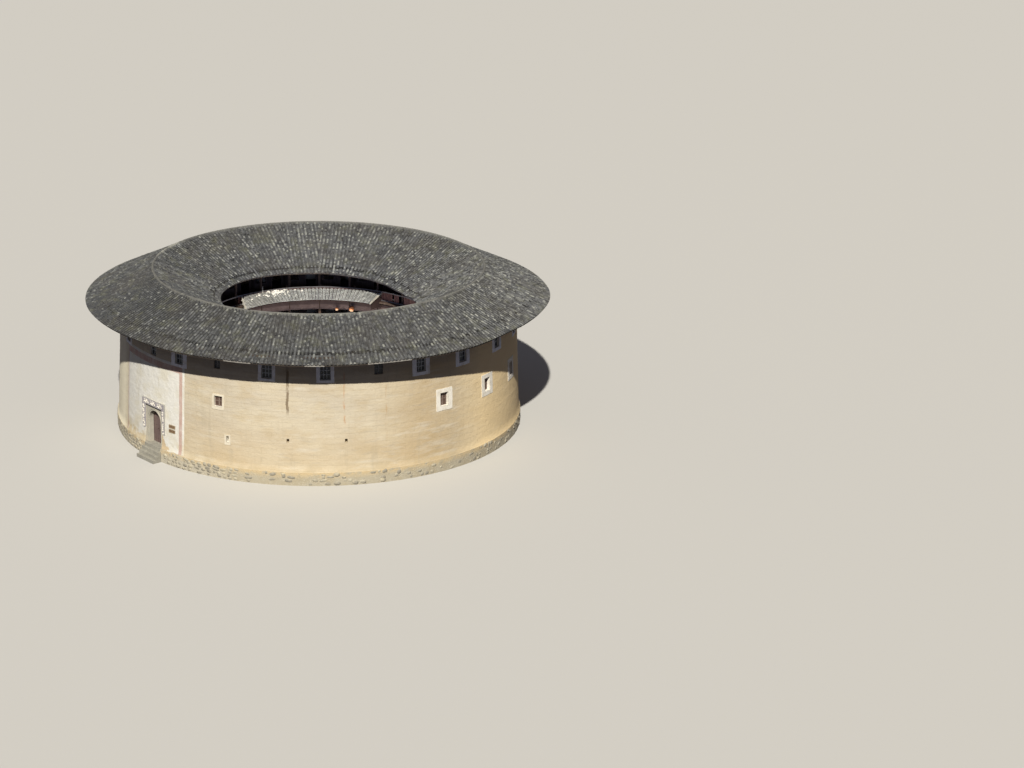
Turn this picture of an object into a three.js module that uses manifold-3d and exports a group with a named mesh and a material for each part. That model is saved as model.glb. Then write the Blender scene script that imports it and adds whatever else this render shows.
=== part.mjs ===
// Round rammed-earth courtyard house with a ring roof, timber galleries and one stone gate.
// Millimetres, +Z up. The origin is the centre of the ring on the ground, and the gate faces -Y.

import * as THREE from 'three';
import { mergeVertices } from 'three/addons/utils/BufferGeometryUtils.js';
import Module from 'manifold-3d';

const wasm = await Module();
wasm.setup();

// Driving sizes of the ring
const GAP = 0.3;
const BAY_COUNT = 24;
const BAY = 360 / BAY_COUNT;
const FIRST_POST = BAY / 2;
const WALL_STEP = BAY / 4;
const FLOOR_STEP = BAY / 2;
const FULL_TURN = 360;

// Outer wall: battered outside, plumb inside
const WALL_INNER_RADIUS = 15000;
const WALL_FOOT_RADIUS = 16400;
const WALL_BATTER = 0.043;
const WALL_RAW_TOP = 12600;
const FOOTING_RADIUS = 16470;
const FOOTING_INNER_RADIUS = 15600;
const FOOTING_HEIGHT = 1050;

// Storeys
const GROUND_FLOOR = FOOTING_HEIGHT;
const SECOND_FLOOR = 4300;
const THIRD_FLOOR = 7350;
const FLOOR_BOARDS = 120;
const FLOOR_BEAM = 230;
const FLOOR_BEAM_WIDTH = 180;

// Roof, radii measured at the corners of the bays
const RIDGE_RADIUS = 13400;
const RIDGE_HEIGHT = 12900;
const OUTER_EAVE_RADIUS = 18700;
const OUTER_EAVE_HEIGHT = 10550;
const INNER_EAVE_RADIUS = 8100;
const INNER_EAVE_HEIGHT = 10150;
const ROOF_DEPTH = 220;
const ROOF_SECTORS = 6;
const OUTER_SLOPE = (RIDGE_HEIGHT - OUTER_EAVE_HEIGHT) / (OUTER_EAVE_RADIUS - RIDGE_RADIUS);
const INNER_SLOPE = (RIDGE_HEIGHT - INNER_EAVE_HEIGHT) / (RIDGE_RADIUS - INNER_EAVE_RADIUS);

// Gallery and rooms
const PODIUM_INNER_RADIUS = 9300;
const FLOOR_EDGE_RADIUS = 9300;
const POST_LINE = 9900;
const POST_RADIUS = 110;
const BALUSTRADE_RADIUS = 9550;
const BALUSTRADE_DEPTH = 80;
const BALUSTRADE_HEIGHT = 900;
const ROOM_FRONT_RADIUS = 11500;
const ROOM_FRONT_DEPTH = 100;
const ROOM_PLATE_HALF = 80;
const ROOM_PLATE_DEPTH = 150;
const FASCIA_DROP = 800;
const PLATE_DEPTH = 280;

// Gate
const PASSAGE_HALF = 1050;
const PASSAGE_TOP = 4140;
const THRESHOLD_TOP = 1100;
const ARCH_RADIUS = 780;
const ARCH_SPRING = 3060;
const SURROUND_HALF = 1140;
const SURROUND_TOP = 4240;
const SURROUND_FACE = 16150;
const SURROUND_BACK = 15770;
const BAND_FACE = 16320;
const BAND_HALF = 1480;
const BAND_FOOT = 2280;
const BAND_TOP = 4720;
const LEAF_PIVOT_X = 945;
const LEAF_LINE = 15695;
const LEAF_DEPTH = 70;
const STILE_RADIUS = 50;
const PIN_RADIUS = 30;
const SOCKET_RADIUS = 35;
const PIN_LENGTH = 60;
const LEAF_CLEARANCE = 6;

// Returns a BufferGeometry as a solid that can be cut and joined
function solid(geometry) {
  geometry.deleteAttribute('normal');
  geometry.deleteAttribute('uv');
  const merged = mergeVertices(geometry, 1e-3);
  return new wasm.Manifold(new wasm.Mesh({
    numProp: 3,
    vertProperties: new Float32Array(merged.attributes.position.array),
    triVerts: new Uint32Array(merged.index.array),
  }));
}

// Returns a solid as a geometry again
function geometryOf(body) {
  const mesh = body.getMesh();
  const geometry = new THREE.BufferGeometry();
  geometry.setAttribute('position', new THREE.BufferAttribute(mesh.vertProperties, 3));
  geometry.setIndex(new THREE.BufferAttribute(mesh.triVerts, 1));
  geometry.computeVertexNormals();
  return geometry;
}

function unite(bodies) {
  return bodies.reduce((whole, body) => whole.add(body));
}

function cutAll(body, cutters) {
  return cutters.reduce((rest, cutter) => rest.subtract(cutter), body);
}

// Box between two corners
function block(x0, x1, y0, y1, z0, z1) {
  const geometry = new THREE.BoxGeometry(x1 - x0, y1 - y0, z1 - z0);
  geometry.translate((x0 + x1) / 2, (y0 + y1) / 2, (z0 + z1) / 2);
  return solid(geometry);
}

// Box that points out from the centre at an angle counted from the gate
function radialBlock(angle, inner, outer, width, z0, z1) {
  const geometry = new THREE.BoxGeometry(width, outer - inner, z1 - z0);
  geometry.translate(0, -(inner + outer) / 2, (z0 + z1) / 2);
  geometry.rotateZ(THREE.MathUtils.degToRad(angle));
  return solid(geometry);
}

// Upright round post
function post(x, y, radius, z0, z1, sides) {
  const geometry = new THREE.CylinderGeometry(radius, radius, z1 - z0, sides);
  geometry.rotateX(Math.PI / 2);
  geometry.translate(x, y, (z0 + z1) / 2);
  return solid(geometry);
}

function ringPoint(angle, radius) {
  const turn = THREE.MathUtils.degToRad(angle);
  return [radius * Math.sin(turn), -radius * Math.cos(turn)];
}

// Sweeps a (radius, height) outline, counted anticlockwise, about the centre of the ring
function ring(outline, from, to, step) {
  const closed = to - from === FULL_TURN;
  const stations = Math.round((to - from) / step);
  const rows = closed ? stations : stations + 1;
  const positions = [];
  for (let row = 0; row < rows; row += 1) {
    const angle = from + ((to - from) * row) / stations;
    for (const [radius, height] of outline) {
      positions.push(...ringPoint(angle, radius), height);
    }
  }
  const count = outline.length;
  const faces = [];
  for (let row = 0; row < stations; row += 1) {
    const near = row * count;
    const far = ((row + 1) % rows) * count;
    for (let i = 0; i < count; i += 1) {
      const next = (i + 1) % count;
      faces.push(near + i, far + i, near + next);
      faces.push(near + next, far + i, far + next);
    }
  }
  if (!closed) {
    const contour = outline.map(([radius, height]) => new THREE.Vector2(radius, height));
    const last = (rows - 1) * count;
    for (const [a, b, c] of THREE.ShapeUtils.triangulateShape(contour, [])) {
      faces.push(a, b, c);
      faces.push(last + a, last + c, last + b);
    }
  }
  const geometry = new THREE.BufferGeometry();
  geometry.setAttribute('position', new THREE.Float32BufferAttribute(positions, 3));
  geometry.setIndex(faces);
  return solid(geometry);
}

function fullRing(outline, step = BAY) {
  return ring(outline, FIRST_POST, FIRST_POST + FULL_TURN, step);
}

function rectangle(inner, outer, z0, z1) {
  return [[inner, z0], [outer, z0], [outer, z1], [inner, z1]];
}

function wallRadius(height) {
  return WALL_FOOT_RADIUS - WALL_BATTER * height;
}

// Heights of the tiled surface and of the boards under it
function outerRoofTop(radius) {
  return RIDGE_HEIGHT - OUTER_SLOPE * (radius - RIDGE_RADIUS);
}

function innerRoofTop(radius) {
  return RIDGE_HEIGHT - INNER_SLOPE * (RIDGE_RADIUS - radius);
}

function underOuterRoof(radius) {
  return outerRoofTop(radius) - ROOF_DEPTH - GAP;
}

function underInnerRoof(radius) {
  return innerRoofTop(radius) - ROOF_DEPTH - GAP;
}

const group = new THREE.Group();

const COLOURS = {
  earth: { color: 0xd6bc8a, roughness: 0.95, metalness: 0 },
  plaster: { color: 0xe6e3da, roughness: 0.9, metalness: 0 },
  rubble: { color: 0x8f8878, roughness: 0.9, metalness: 0 },
  dressed: { color: 0xa8a79a, roughness: 0.8, metalness: 0 },
  tile: { color: 0x5a5854, roughness: 0.9, metalness: 0 },
  capping: { color: 0x8b8a80, roughness: 0.9, metalness: 0 },
  timber: { color: 0x5c3a2e, roughness: 0.75, metalness: 0 },
  door: { color: 0x6a5450, roughness: 0.7, metalness: 0 },
};
const MATERIALS = Object.fromEntries(
  Object.entries(COLOURS).map(([name, values]) => [name, new THREE.MeshStandardMaterial(values)]),
);

function place(name, body, material, parent = group) {
  const mesh = new THREE.Mesh(geometryOf(body), MATERIALS[material]);
  mesh.name = name;
  parent.add(mesh);
  return mesh;
}

// Windows: angle from the gate, sill, width and height of the hole
const TOP_WINDOW = { width: 830, height: 1100, sill: 8320 };
const SEEN_TOP_WINDOWS = [-0.6, 10.5, 38, 53.9, 81.1, 95.7, 112.3];
const HIDDEN_TOP_WINDOWS = 15;
const PLAIN_WINDOW = { width: 710, height: 850, sill: 8570 };
const PLAIN_WINDOW_ANGLE = 68.5;
const LOOKOUT = { width: 550, height: 700, sill: 8640 };
const LOOKOUT_ANGLE = 23.5;
const MIDDLE_WINDOW = { width: 700, height: 1000, sill: 5250 };
const SMALL_WINDOW = { width: 650, height: 750, sill: 5700 };
const SMALL_WINDOW_ANGLE = 23.9;
const SEEN_MIDDLE_WINDOWS = [88.6, 106.4, 122.8];
const HIDDEN_MIDDLE_WINDOWS = 12;
const MIDDLE_SPACING = 16.2;
const FRAMED_VENT = { width: 220, height: 500, sill: 2950 };
const FRAMED_VENT_ANGLE = 26.8;
const BARE_VENT = { width: 200, height: 330, sill: 3350 };
const BARE_VENT_ANGLES = [43.8, 59.4];
const CUT_INNER = WALL_INNER_RADIUS - 300;
const CUT_OUTER = WALL_FOOT_RADIUS + 300;

function windowHole(angle, { width, height, sill }) {
  return { angle, cutter: radialBlock(angle, CUT_INNER, CUT_OUTER, width, sill, sill + height) };
}

function wallHoles() {
  const top = [...SEEN_TOP_WINDOWS];
  const lastSeen = top[top.length - 1];
  const spacing = (FULL_TURN + top[0] - lastSeen) / (HIDDEN_TOP_WINDOWS + 1);
  for (let k = 1; k <= HIDDEN_TOP_WINDOWS; k += 1) {
    top.push(lastSeen + spacing * k);
  }
  const middle = [...SEEN_MIDDLE_WINDOWS];
  const lastMiddle = middle[middle.length - 1];
  for (let k = 1; k <= HIDDEN_MIDDLE_WINDOWS; k += 1) {
    middle.push(lastMiddle + MIDDLE_SPACING * k);
  }
  return [
    ...top.map((angle) => windowHole(angle, TOP_WINDOW)),
    ...middle.map((angle) => windowHole(angle, MIDDLE_WINDOW)),
    windowHole(PLAIN_WINDOW_ANGLE, PLAIN_WINDOW),
    windowHole(LOOKOUT_ANGLE, LOOKOUT),
    windowHole(SMALL_WINDOW_ANGLE, SMALL_WINDOW),
    windowHole(FRAMED_VENT_ANGLE, FRAMED_VENT),
    ...BARE_VENT_ANGLES.map((angle) => windowHole(angle, BARE_VENT)),
  ].map((hole) => hole.cutter);
}

// Space that the roof and everything over it takes, kept out of the wall's top
function roofSpace() {
  const high = RIDGE_HEIGHT + 2000;
  return fullRing([
    [WALL_INNER_RADIUS - 400, underOuterRoof(WALL_INNER_RADIUS - 400)],
    [WALL_FOOT_RADIUS + 400, underOuterRoof(WALL_FOOT_RADIUS + 400)],
    [WALL_FOOT_RADIUS + 400, high],
    [WALL_INNER_RADIUS - 400, high],
  ]);
}

// Rammed-earth wall in segments of three bays, which stand on the footing and the floor ring's edge
const WALL_SEGMENT = BAY * 3;
const GATE_SEGMENT_HALF = WALL_SEGMENT / 2;
const JOINT = 0.001;

function wallMass(from, to) {
  const outline = [
    [WALL_INNER_RADIUS, FOOTING_HEIGHT + GAP],
    [wallRadius(FOOTING_HEIGHT), FOOTING_HEIGHT + GAP],
    [wallRadius(WALL_RAW_TOP), WALL_RAW_TOP],
    [WALL_INNER_RADIUS, WALL_RAW_TOP],
  ];
  return ring(outline, from + JOINT, to - JOINT, WALL_STEP);
}

function buildWall() {
  const cutters = [...wallHoles(), roofSpace()];
  for (let k = 0; k < BAY_COUNT / 3 - 1; k += 1) {
    const from = GATE_SEGMENT_HALF + k * WALL_SEGMENT;
    place(`outer_wall_${k + 1}`, cutAll(wallMass(from, from + WALL_SEGMENT), cutters), 'earth');
  }

  // The gate's segment is cut plumb beside and over the passage
  const far = -WALL_FOOT_RADIUS * 2;
  const near = -WALL_INNER_RADIUS / 2;
  const high = WALL_RAW_TOP + 500;
  const side = WALL_FOOT_RADIUS;
  const pocket = block(
    -SURROUND_HALF - GAP, SURROUND_HALF + GAP, far, -SURROUND_BACK + GAP, 0, SURROUND_TOP + GAP,
  );
  const mass = cutAll(wallMass(-GATE_SEGMENT_HALF, GATE_SEGMENT_HALF), [...cutters, pocket]);
  place('outer_wall_gate_left', mass.intersect(block(-side, -PASSAGE_HALF, far, near, 0, high)), 'earth');
  place('outer_wall_gate_right', mass.intersect(block(PASSAGE_HALF, side, far, near, 0, high)), 'earth');
  const inner = PASSAGE_HALF - GAP;
  place('outer_wall_over_gate', mass.intersect(block(-inner, inner, far, near, PASSAGE_TOP, high)), 'earth');
}

// Stone footing, one ring that stops at the gate, and the stone floor ring inside it
function buildFooting() {
  const passage = block(
    -PASSAGE_HALF, PASSAGE_HALF, -FOOTING_RADIUS * 2, 0, -100, FOOTING_HEIGHT + 100,
  );
  const mass = fullRing(rectangle(FOOTING_INNER_RADIUS, FOOTING_RADIUS, 0, FOOTING_HEIGHT), WALL_STEP);
  place('stone_footing', mass.subtract(passage), 'rubble');
  const podium = rectangle(PODIUM_INNER_RADIUS, FOOTING_INNER_RADIUS - GAP, 0, GROUND_FLOOR);
  place('ground_floor', fullRing(podium, FLOOR_STEP), 'dressed');
}

// Boarded floor ring
function floorBoards(level) {
  const outline = rectangle(FLOOR_EDGE_RADIUS, WALL_INNER_RADIUS - GAP, level - FLOOR_BOARDS, level);
  return fullRing(outline, FLOOR_STEP);
}

// Radial beams under the boards, joined by the plate over the room fronts that carries them
function floorBeams(level) {
  const top = level - FLOOR_BOARDS - GAP;
  const foot = top + GAP - FLOOR_BEAM;
  const plate = fullRing(rectangle(
    ROOM_FRONT_RADIUS - ROOM_PLATE_HALF, ROOM_FRONT_RADIUS + ROOM_PLATE_HALF,
    foot - ROOM_PLATE_DEPTH, foot + ROOM_PLATE_HALF,
  ));
  const beams = [];
  for (let k = 0; k < BAY_COUNT; k += 1) {
    beams.push(radialBlock(
      FIRST_POST + BAY * k, FLOOR_EDGE_RADIUS + 50, WALL_INNER_RADIUS - 10, FLOOR_BEAM_WIDTH, foot, top,
    ));
  }
  return unite([plate, ...beams]);
}

// Posts joined by the ring beams that they carry
function galleryPosts(from, to) {
  const posts = [];
  for (let k = 0; k < BAY_COUNT; k += 1) {
    const [x, y] = ringPoint(FIRST_POST + BAY * k, POST_LINE);
    posts.push(post(x, y, POST_RADIUS, from, to, 6));
  }
  return posts;
}

function galleryUnderFloor(level, floorAbove, drop) {
  const top = floorAbove - FLOOR_BOARDS - FLOOR_BEAM - GAP;
  const beam = fullRing(rectangle(POST_LINE - 50, POST_LINE + 50, top - drop, top));
  return unite([...galleryPosts(level + GAP, top), beam]);
}

// Ties run through slots in the top gallery's posts, out to the purlin under the inner eave
// and back to the room front
const TIE_TOP = 10000;
const TIE_DEPTH = 200;
const TIE_WIDTH = 100;
const EAVE_PURLIN_RADIUS = 8550;

function eaveTies(clearance) {
  const ties = [];
  for (let k = 0; k < BAY_COUNT; k += 1) {
    ties.push(radialBlock(
      FIRST_POST + BAY * k, EAVE_PURLIN_RADIUS - 150, ROOM_FRONT_RADIUS - ROOM_FRONT_DEPTH / 2 - 10,
      TIE_WIDTH + 2 * clearance, TIE_TOP - TIE_DEPTH - clearance, TIE_TOP + clearance,
    ));
  }
  return ties;
}

function innerEaveFrame() {
  const purlin = fullRing([
    [EAVE_PURLIN_RADIUS - 70, TIE_TOP - 60],
    [EAVE_PURLIN_RADIUS + 70, TIE_TOP - 60],
    [EAVE_PURLIN_RADIUS + 70, underInnerRoof(EAVE_PURLIN_RADIUS + 70)],
    [EAVE_PURLIN_RADIUS - 70, underInnerRoof(EAVE_PURLIN_RADIUS - 70)],
  ]);
  return unite([purlin, ...eaveTies(0)]);
}

function galleryUnderRoof() {
  const plate = fullRing([
    [POST_LINE - 100, underInnerRoof(POST_LINE - 100) - PLATE_DEPTH],
    [POST_LINE + 100, underInnerRoof(POST_LINE - 100) - PLATE_DEPTH],
    [POST_LINE + 100, underInnerRoof(POST_LINE + 100)],
    [POST_LINE - 100, underInnerRoof(POST_LINE - 100)],
  ]);
  const postTop = underInnerRoof(POST_LINE) - PLATE_DEPTH / 2;
  const frame = unite([...galleryPosts(THIRD_FLOOR + GAP, postTop), plate]);
  return cutAll(frame, eaveTies(GAP));
}

// Timber room front: a door and a window to each bay
const ROOM_DOOR = { offset: -750, width: 900, height: 2000 };
const ROOM_WINDOW = { offset: 700, width: 900, sill: 1000, height: 900 };
const HALL_WIDTH = 2200;
const HALL_HEIGHT = 2750;

function bayHole(angle, offset, width, z0, z1) {
  const middle = ROOM_FRONT_RADIUS * Math.cos(THREE.MathUtils.degToRad(BAY / 2));
  const geometry = new THREE.BoxGeometry(width, ROOM_FRONT_DEPTH * 4, z1 - z0);
  geometry.translate(offset, -middle, (z0 + z1) / 2);
  geometry.rotateZ(THREE.MathUtils.degToRad(angle));
  return solid(geometry);
}

function roomFront(level, topInner, topOuter, openHall) {
  const inner = ROOM_FRONT_RADIUS - ROOM_FRONT_DEPTH / 2;
  const outer = ROOM_FRONT_RADIUS + ROOM_FRONT_DEPTH / 2;
  const foot = level + GAP;
  const wall = fullRing([[inner, foot], [outer, foot], [outer, topOuter], [inner, topInner]]);
  const holes = [];
  for (let k = 0; k < BAY_COUNT; k += 1) {
    const angle = BAY * k;
    if (openHall && k === 0) {
      holes.push(bayHole(angle, 0, HALL_WIDTH, level - 100, level + HALL_HEIGHT));
    } else {
      const { offset, width, sill, height } = ROOM_WINDOW;
      holes.push(bayHole(angle, ROOM_DOOR.offset, ROOM_DOOR.width, level - 100, level + ROOM_DOOR.height));
      holes.push(bayHole(angle, offset, width, level + sill, level + sill + height));
    }
  }
  return cutAll(wall, holes);
}

function balustrade(level) {
  const outer = BALUSTRADE_RADIUS + BALUSTRADE_DEPTH;
  return fullRing(rectangle(BALUSTRADE_RADIUS, outer, level + GAP, level + BALUSTRADE_HEIGHT));
}

function buildInterior() {
  place('second_floor', floorBoards(SECOND_FLOOR), 'timber');
  place('third_floor', floorBoards(THIRD_FLOOR), 'timber');
  place('floor_beams_second', floorBeams(SECOND_FLOOR), 'timber');
  place('floor_beams_third', floorBeams(THIRD_FLOOR), 'timber');
  place('gallery_frame_ground', galleryUnderFloor(GROUND_FLOOR, SECOND_FLOOR, PLATE_DEPTH), 'timber');
  place('gallery_frame_second', galleryUnderFloor(SECOND_FLOOR, THIRD_FLOOR, FASCIA_DROP), 'timber');
  place('gallery_frame_third', galleryUnderRoof(), 'timber');
  place('inner_eave_frame', innerEaveFrame(), 'timber');
  place('balustrade_second', balustrade(SECOND_FLOOR), 'timber');
  place('balustrade_third', balustrade(THIRD_FLOOR), 'timber');
  const underFloor = FLOOR_BOARDS + FLOOR_BEAM + ROOM_PLATE_DEPTH + GAP;
  const groundTop = SECOND_FLOOR - underFloor;
  const secondTop = THIRD_FLOOR - underFloor;
  place('room_front_ground', roomFront(GROUND_FLOOR, groundTop, groundTop, true), 'timber');
  place('room_front_second', roomFront(SECOND_FLOOR, secondTop, secondTop, false), 'timber');
  const thirdInner = underInnerRoof(ROOM_FRONT_RADIUS - ROOM_FRONT_DEPTH / 2);
  const thirdOuter = underInnerRoof(ROOM_FRONT_RADIUS + ROOM_FRONT_DEPTH / 2);
  place('room_front_third', roomFront(THIRD_FLOOR, thirdInner, thirdOuter, false), 'timber');
}

// Tiled skirt roof under the top gallery, over five bays, with boarded ends and brackets
const SKIRT_FROM = 202.5;
const SKIRT_BAYS = 5;
const SKIRT_EAVE_RADIUS = 8150;
const SKIRT_EAVE_HEIGHT = 7600;
const SKIRT_TOP_HEIGHT = 8245;
const SKIRT_DEPTH = 130;
const SKIRT_END_FOOT = 6900;
const SKIRT_END_BOARD = 60;

function buildSkirtRoof() {
  const back = BALUSTRADE_RADIUS - GAP;
  const to = SKIRT_FROM + SKIRT_BAYS * BAY;
  const slab = ring([
    [SKIRT_EAVE_RADIUS, SKIRT_EAVE_HEIGHT - SKIRT_DEPTH],
    [back, SKIRT_TOP_HEIGHT - SKIRT_DEPTH],
    [back, SKIRT_TOP_HEIGHT],
    [SKIRT_EAVE_RADIUS, SKIRT_EAVE_HEIGHT],
  ], SKIRT_FROM, to, BAY);
  const parts = [slab];
  const slope = (SKIRT_TOP_HEIGHT - SKIRT_EAVE_HEIGHT) / (back - SKIRT_EAVE_RADIUS);
  const front = SKIRT_EAVE_RADIUS + 150;
  const edge = FLOOR_EDGE_RADIUS - 20;
  for (let k = 0; k <= SKIRT_BAYS; k += 1) {
    const foot = k === 0 || k === SKIRT_BAYS ? SKIRT_END_FOOT : SKIRT_EAVE_HEIGHT - 350;
    const cheek = radialBlock(
      SKIRT_FROM + BAY * k, front, edge, SKIRT_END_BOARD, foot, SKIRT_TOP_HEIGHT,
    );
    const above = ring([
      [front - 50, SKIRT_EAVE_HEIGHT - SKIRT_DEPTH / 2 + slope * (front - 50 - SKIRT_EAVE_RADIUS)],
      [edge + 50, SKIRT_EAVE_HEIGHT - SKIRT_DEPTH / 2 + slope * (edge + 50 - SKIRT_EAVE_RADIUS)],
      [edge + 50, SKIRT_TOP_HEIGHT + 500],
      [front - 50, SKIRT_TOP_HEIGHT + 500],
    ], SKIRT_FROM + BAY * (k - 1), SKIRT_FROM + BAY * (k + 1), BAY);
    parts.push(cheek.subtract(above));
  }
  place('skirt_roof', unite(parts), 'tile');
}

// The inner eave reaches further over the yard at the back, by these lengths at the bays' corners
const REACH_FROM = 142.5;
const EAVE_REACH = [400, 800, 800, 620, 460, 380, 280, 200, 100];

function innerEaveRadius(corner) {
  return INNER_EAVE_RADIUS - (EAVE_REACH[Math.round((corner - REACH_FROM) / BAY)] ?? 0);
}

// Inner slope over some bays, each bay a flat slab between two corners
function innerSlope(start, bays) {
  const slabs = [];
  for (let k = 0; k < bays; k += 1) {
    const corners = [start + BAY * k, start + BAY * (k + 1)];
    const insets = [k === 0 ? JOINT : 0, k === bays - 1 ? -JOINT : 0];
    const points = corners.flatMap((corner, side) => {
      const eave = innerEaveRadius(corner);
      return [
        [eave, innerRoofTop(eave) - ROOF_DEPTH],
        [eave, innerRoofTop(eave)],
        [RIDGE_RADIUS - GAP, RIDGE_HEIGHT - ROOF_DEPTH],
        [RIDGE_RADIUS - GAP, RIDGE_HEIGHT],
      ].map(([radius, height]) => [...ringPoint(corner + insets[side], radius), height]);
    });
    slabs.push(wasm.Manifold.hull(points));
  }
  return unite(slabs);
}

// Roof: two tiled slopes in sectors of four bays that meet at the capped ridge
function buildRoof() {
  const sector = FULL_TURN / ROOF_SECTORS;
  const outerOutline = [
    [RIDGE_RADIUS + GAP, RIDGE_HEIGHT - ROOF_DEPTH],
    [OUTER_EAVE_RADIUS, OUTER_EAVE_HEIGHT - ROOF_DEPTH],
    [OUTER_EAVE_RADIUS, OUTER_EAVE_HEIGHT],
    [RIDGE_RADIUS + GAP, RIDGE_HEIGHT],
  ];
  const outerSector = ring(outerOutline, JOINT, sector - JOINT, BAY);
  for (let k = 0; k < ROOF_SECTORS; k += 1) {
    const turned = new THREE.Group();
    turned.rotation.z = THREE.MathUtils.degToRad(FIRST_POST + sector * k);
    group.add(turned);
    place(`roof_outer_slope_${k + 1}`, outerSector, 'tile', turned);
    place(`roof_inner_slope_${k + 1}`, innerSlope(FIRST_POST + sector * k, sector / BAY), 'tile');
  }
  const half = 170;
  const crest = 130;
  const cap = fullRing([
    [RIDGE_RADIUS - half, innerRoofTop(RIDGE_RADIUS - half) + GAP],
    [RIDGE_RADIUS, RIDGE_HEIGHT + GAP],
    [RIDGE_RADIUS + half, outerRoofTop(RIDGE_RADIUS + half) + GAP],
    [RIDGE_RADIUS + crest, RIDGE_HEIGHT + 160],
    [RIDGE_RADIUS - crest, RIDGE_HEIGHT + 160],
  ]);
  place('ridge_cap', cap, 'capping');
}

// Beams out of the wall that carry the purlin under the outer eave
const OUTER_PURLIN_RADIUS = 17900;
const OUTER_PURLIN_DEPTH = 180;
const EAVE_BEAM_DEPTH = 220;

function buildOuterEave() {
  const inner = OUTER_PURLIN_RADIUS - 80;
  const outer = OUTER_PURLIN_RADIUS + 80;
  const foot = underOuterRoof(outer) - OUTER_PURLIN_DEPTH;
  const purlin = fullRing([
    [inner, foot], [outer, foot], [outer, underOuterRoof(outer)], [inner, underOuterRoof(inner)],
  ]);
  const beamTop = foot + 40;
  const beams = [];
  for (let k = 0; k < BAY_COUNT; k += 1) {
    beams.push(radialBlock(
      FIRST_POST + BAY * k, wallRadius(beamTop - EAVE_BEAM_DEPTH) + GAP, OUTER_PURLIN_RADIUS + 200,
      150, beamTop - EAVE_BEAM_DEPTH, beamTop,
    ));
  }
  place('outer_eave_frame', unite([purlin, ...beams]), 'timber');
}

// Steps, threshold, stone surround with its arch, decorated band, lintel and two pivoted leaves
const STEP_COUNT = 3;
const STEP_TREAD = 240;
const STEP_HALF = 1140;
const THRESHOLD_FRONT = 16480;
const LEAF_FOOT = THRESHOLD_TOP + LEAF_CLEARANCE;
const LEAF_TOP = 3930;
const LINTEL_DEPTH = 220;

function gateArch(y0, y1) {
  const shape = new THREE.Shape();
  shape.moveTo(-ARCH_RADIUS, THRESHOLD_TOP - 200);
  shape.lineTo(ARCH_RADIUS, THRESHOLD_TOP - 200);
  shape.lineTo(ARCH_RADIUS, ARCH_SPRING);
  shape.absarc(0, ARCH_SPRING, ARCH_RADIUS, 0, Math.PI, false);
  const geometry = new THREE.ExtrudeGeometry(shape, {
    depth: y1 - y0, bevelEnabled: false, curveSegments: 16,
  });
  geometry.rotateX(Math.PI / 2);
  geometry.translate(0, y1, 0);
  return solid(geometry);
}

function buildGateStone() {
  const rise = THRESHOLD_TOP / (STEP_COUNT + 1);
  for (let k = 0; k < STEP_COUNT; k += 1) {
    const back = -THRESHOLD_FRONT - STEP_TREAD * (STEP_COUNT - 1 - k) - GAP;
    const step = block(-STEP_HALF, STEP_HALF, back - STEP_TREAD + GAP, back, 0, rise * (k + 1));
    place(`gate_step_${k + 1}`, step, 'dressed');
  }
  const sockets = [-1, 1].map((side) => post(
    side * LEAF_PIVOT_X, -LEAF_LINE, SOCKET_RADIUS, THRESHOLD_TOP - PIN_LENGTH + LEAF_CLEARANCE - GAP,
    THRESHOLD_TOP + 100, 12,
  ));
  const inside = PASSAGE_HALF - GAP;
  const threshold = block(
    -inside, inside, -THRESHOLD_FRONT, -FOOTING_INNER_RADIUS - GAP, 0, THRESHOLD_TOP,
  );
  place('gate_threshold', cutAll(threshold, sockets), 'dressed');

  const surround = block(
    -SURROUND_HALF, SURROUND_HALF, -SURROUND_FACE, -SURROUND_BACK, THRESHOLD_TOP + GAP, SURROUND_TOP,
  );
  const arch = gateArch(-SURROUND_FACE - 100, -SURROUND_BACK + 100);
  place('gate_surround', surround.subtract(arch), 'dressed');

  // The band is cut to the curve of the wall behind it
  const face = block(-BAND_HALF, BAND_HALF, -BAND_FACE, -SURROUND_BACK, BAND_FOOT, BAND_TOP);
  const middle = block(
    -SURROUND_HALF - GAP, SURROUND_HALF + GAP, -BAND_FACE - 100, 0, 0, SURROUND_TOP + GAP,
  );
  const behind = ring([
    [WALL_INNER_RADIUS - 100, 0],
    [wallRadius(0) + GAP, 0],
    [wallRadius(WALL_RAW_TOP) + GAP, WALL_RAW_TOP],
    [WALL_INNER_RADIUS - 100, WALL_RAW_TOP],
  ], -GATE_SEGMENT_HALF, GATE_SEGMENT_HALF, WALL_STEP);
  place('gate_band', cutAll(face, [middle, behind]), 'plaster');
}

function buildGateTimber() {
  const lintelFoot = LEAF_TOP + LEAF_CLEARANCE;
  const lintelSockets = [-1, 1].map((side) => post(
    side * LEAF_PIVOT_X, -LEAF_LINE, SOCKET_RADIUS, lintelFoot - 100,
    LEAF_TOP + PIN_LENGTH + GAP, 12,
  ));
  const inside = PASSAGE_HALF - GAP;
  const lintel = block(
    -inside, inside, -SURROUND_BACK + GAP, -SURROUND_BACK + 300, lintelFoot, PASSAGE_TOP - GAP,
  );
  place('gate_lintel', cutAll(lintel, lintelSockets), 'timber');

  for (const [name, side] of [['gate_leaf_left', -1], ['gate_leaf_right', 1]]) {
    const hinge = new THREE.Group();
    hinge.position.set(side * LEAF_PIVOT_X, -LEAF_LINE, 0);
    group.add(hinge);
    const reach = LEAF_PIVOT_X - 5;
    const board = block(
      Math.min(0, -side * reach), Math.max(0, -side * reach), -LEAF_DEPTH / 2, LEAF_DEPTH / 2,
      LEAF_FOOT, LEAF_TOP,
    );
    const stile = post(0, 0, STILE_RADIUS, LEAF_FOOT, LEAF_TOP, 12);
    const pin = post(0, 0, PIN_RADIUS, LEAF_FOOT - PIN_LENGTH, LEAF_TOP + PIN_LENGTH, 12);
    place(name, unite([board, stile, pin]), 'door', hinge);
  }
}

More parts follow.
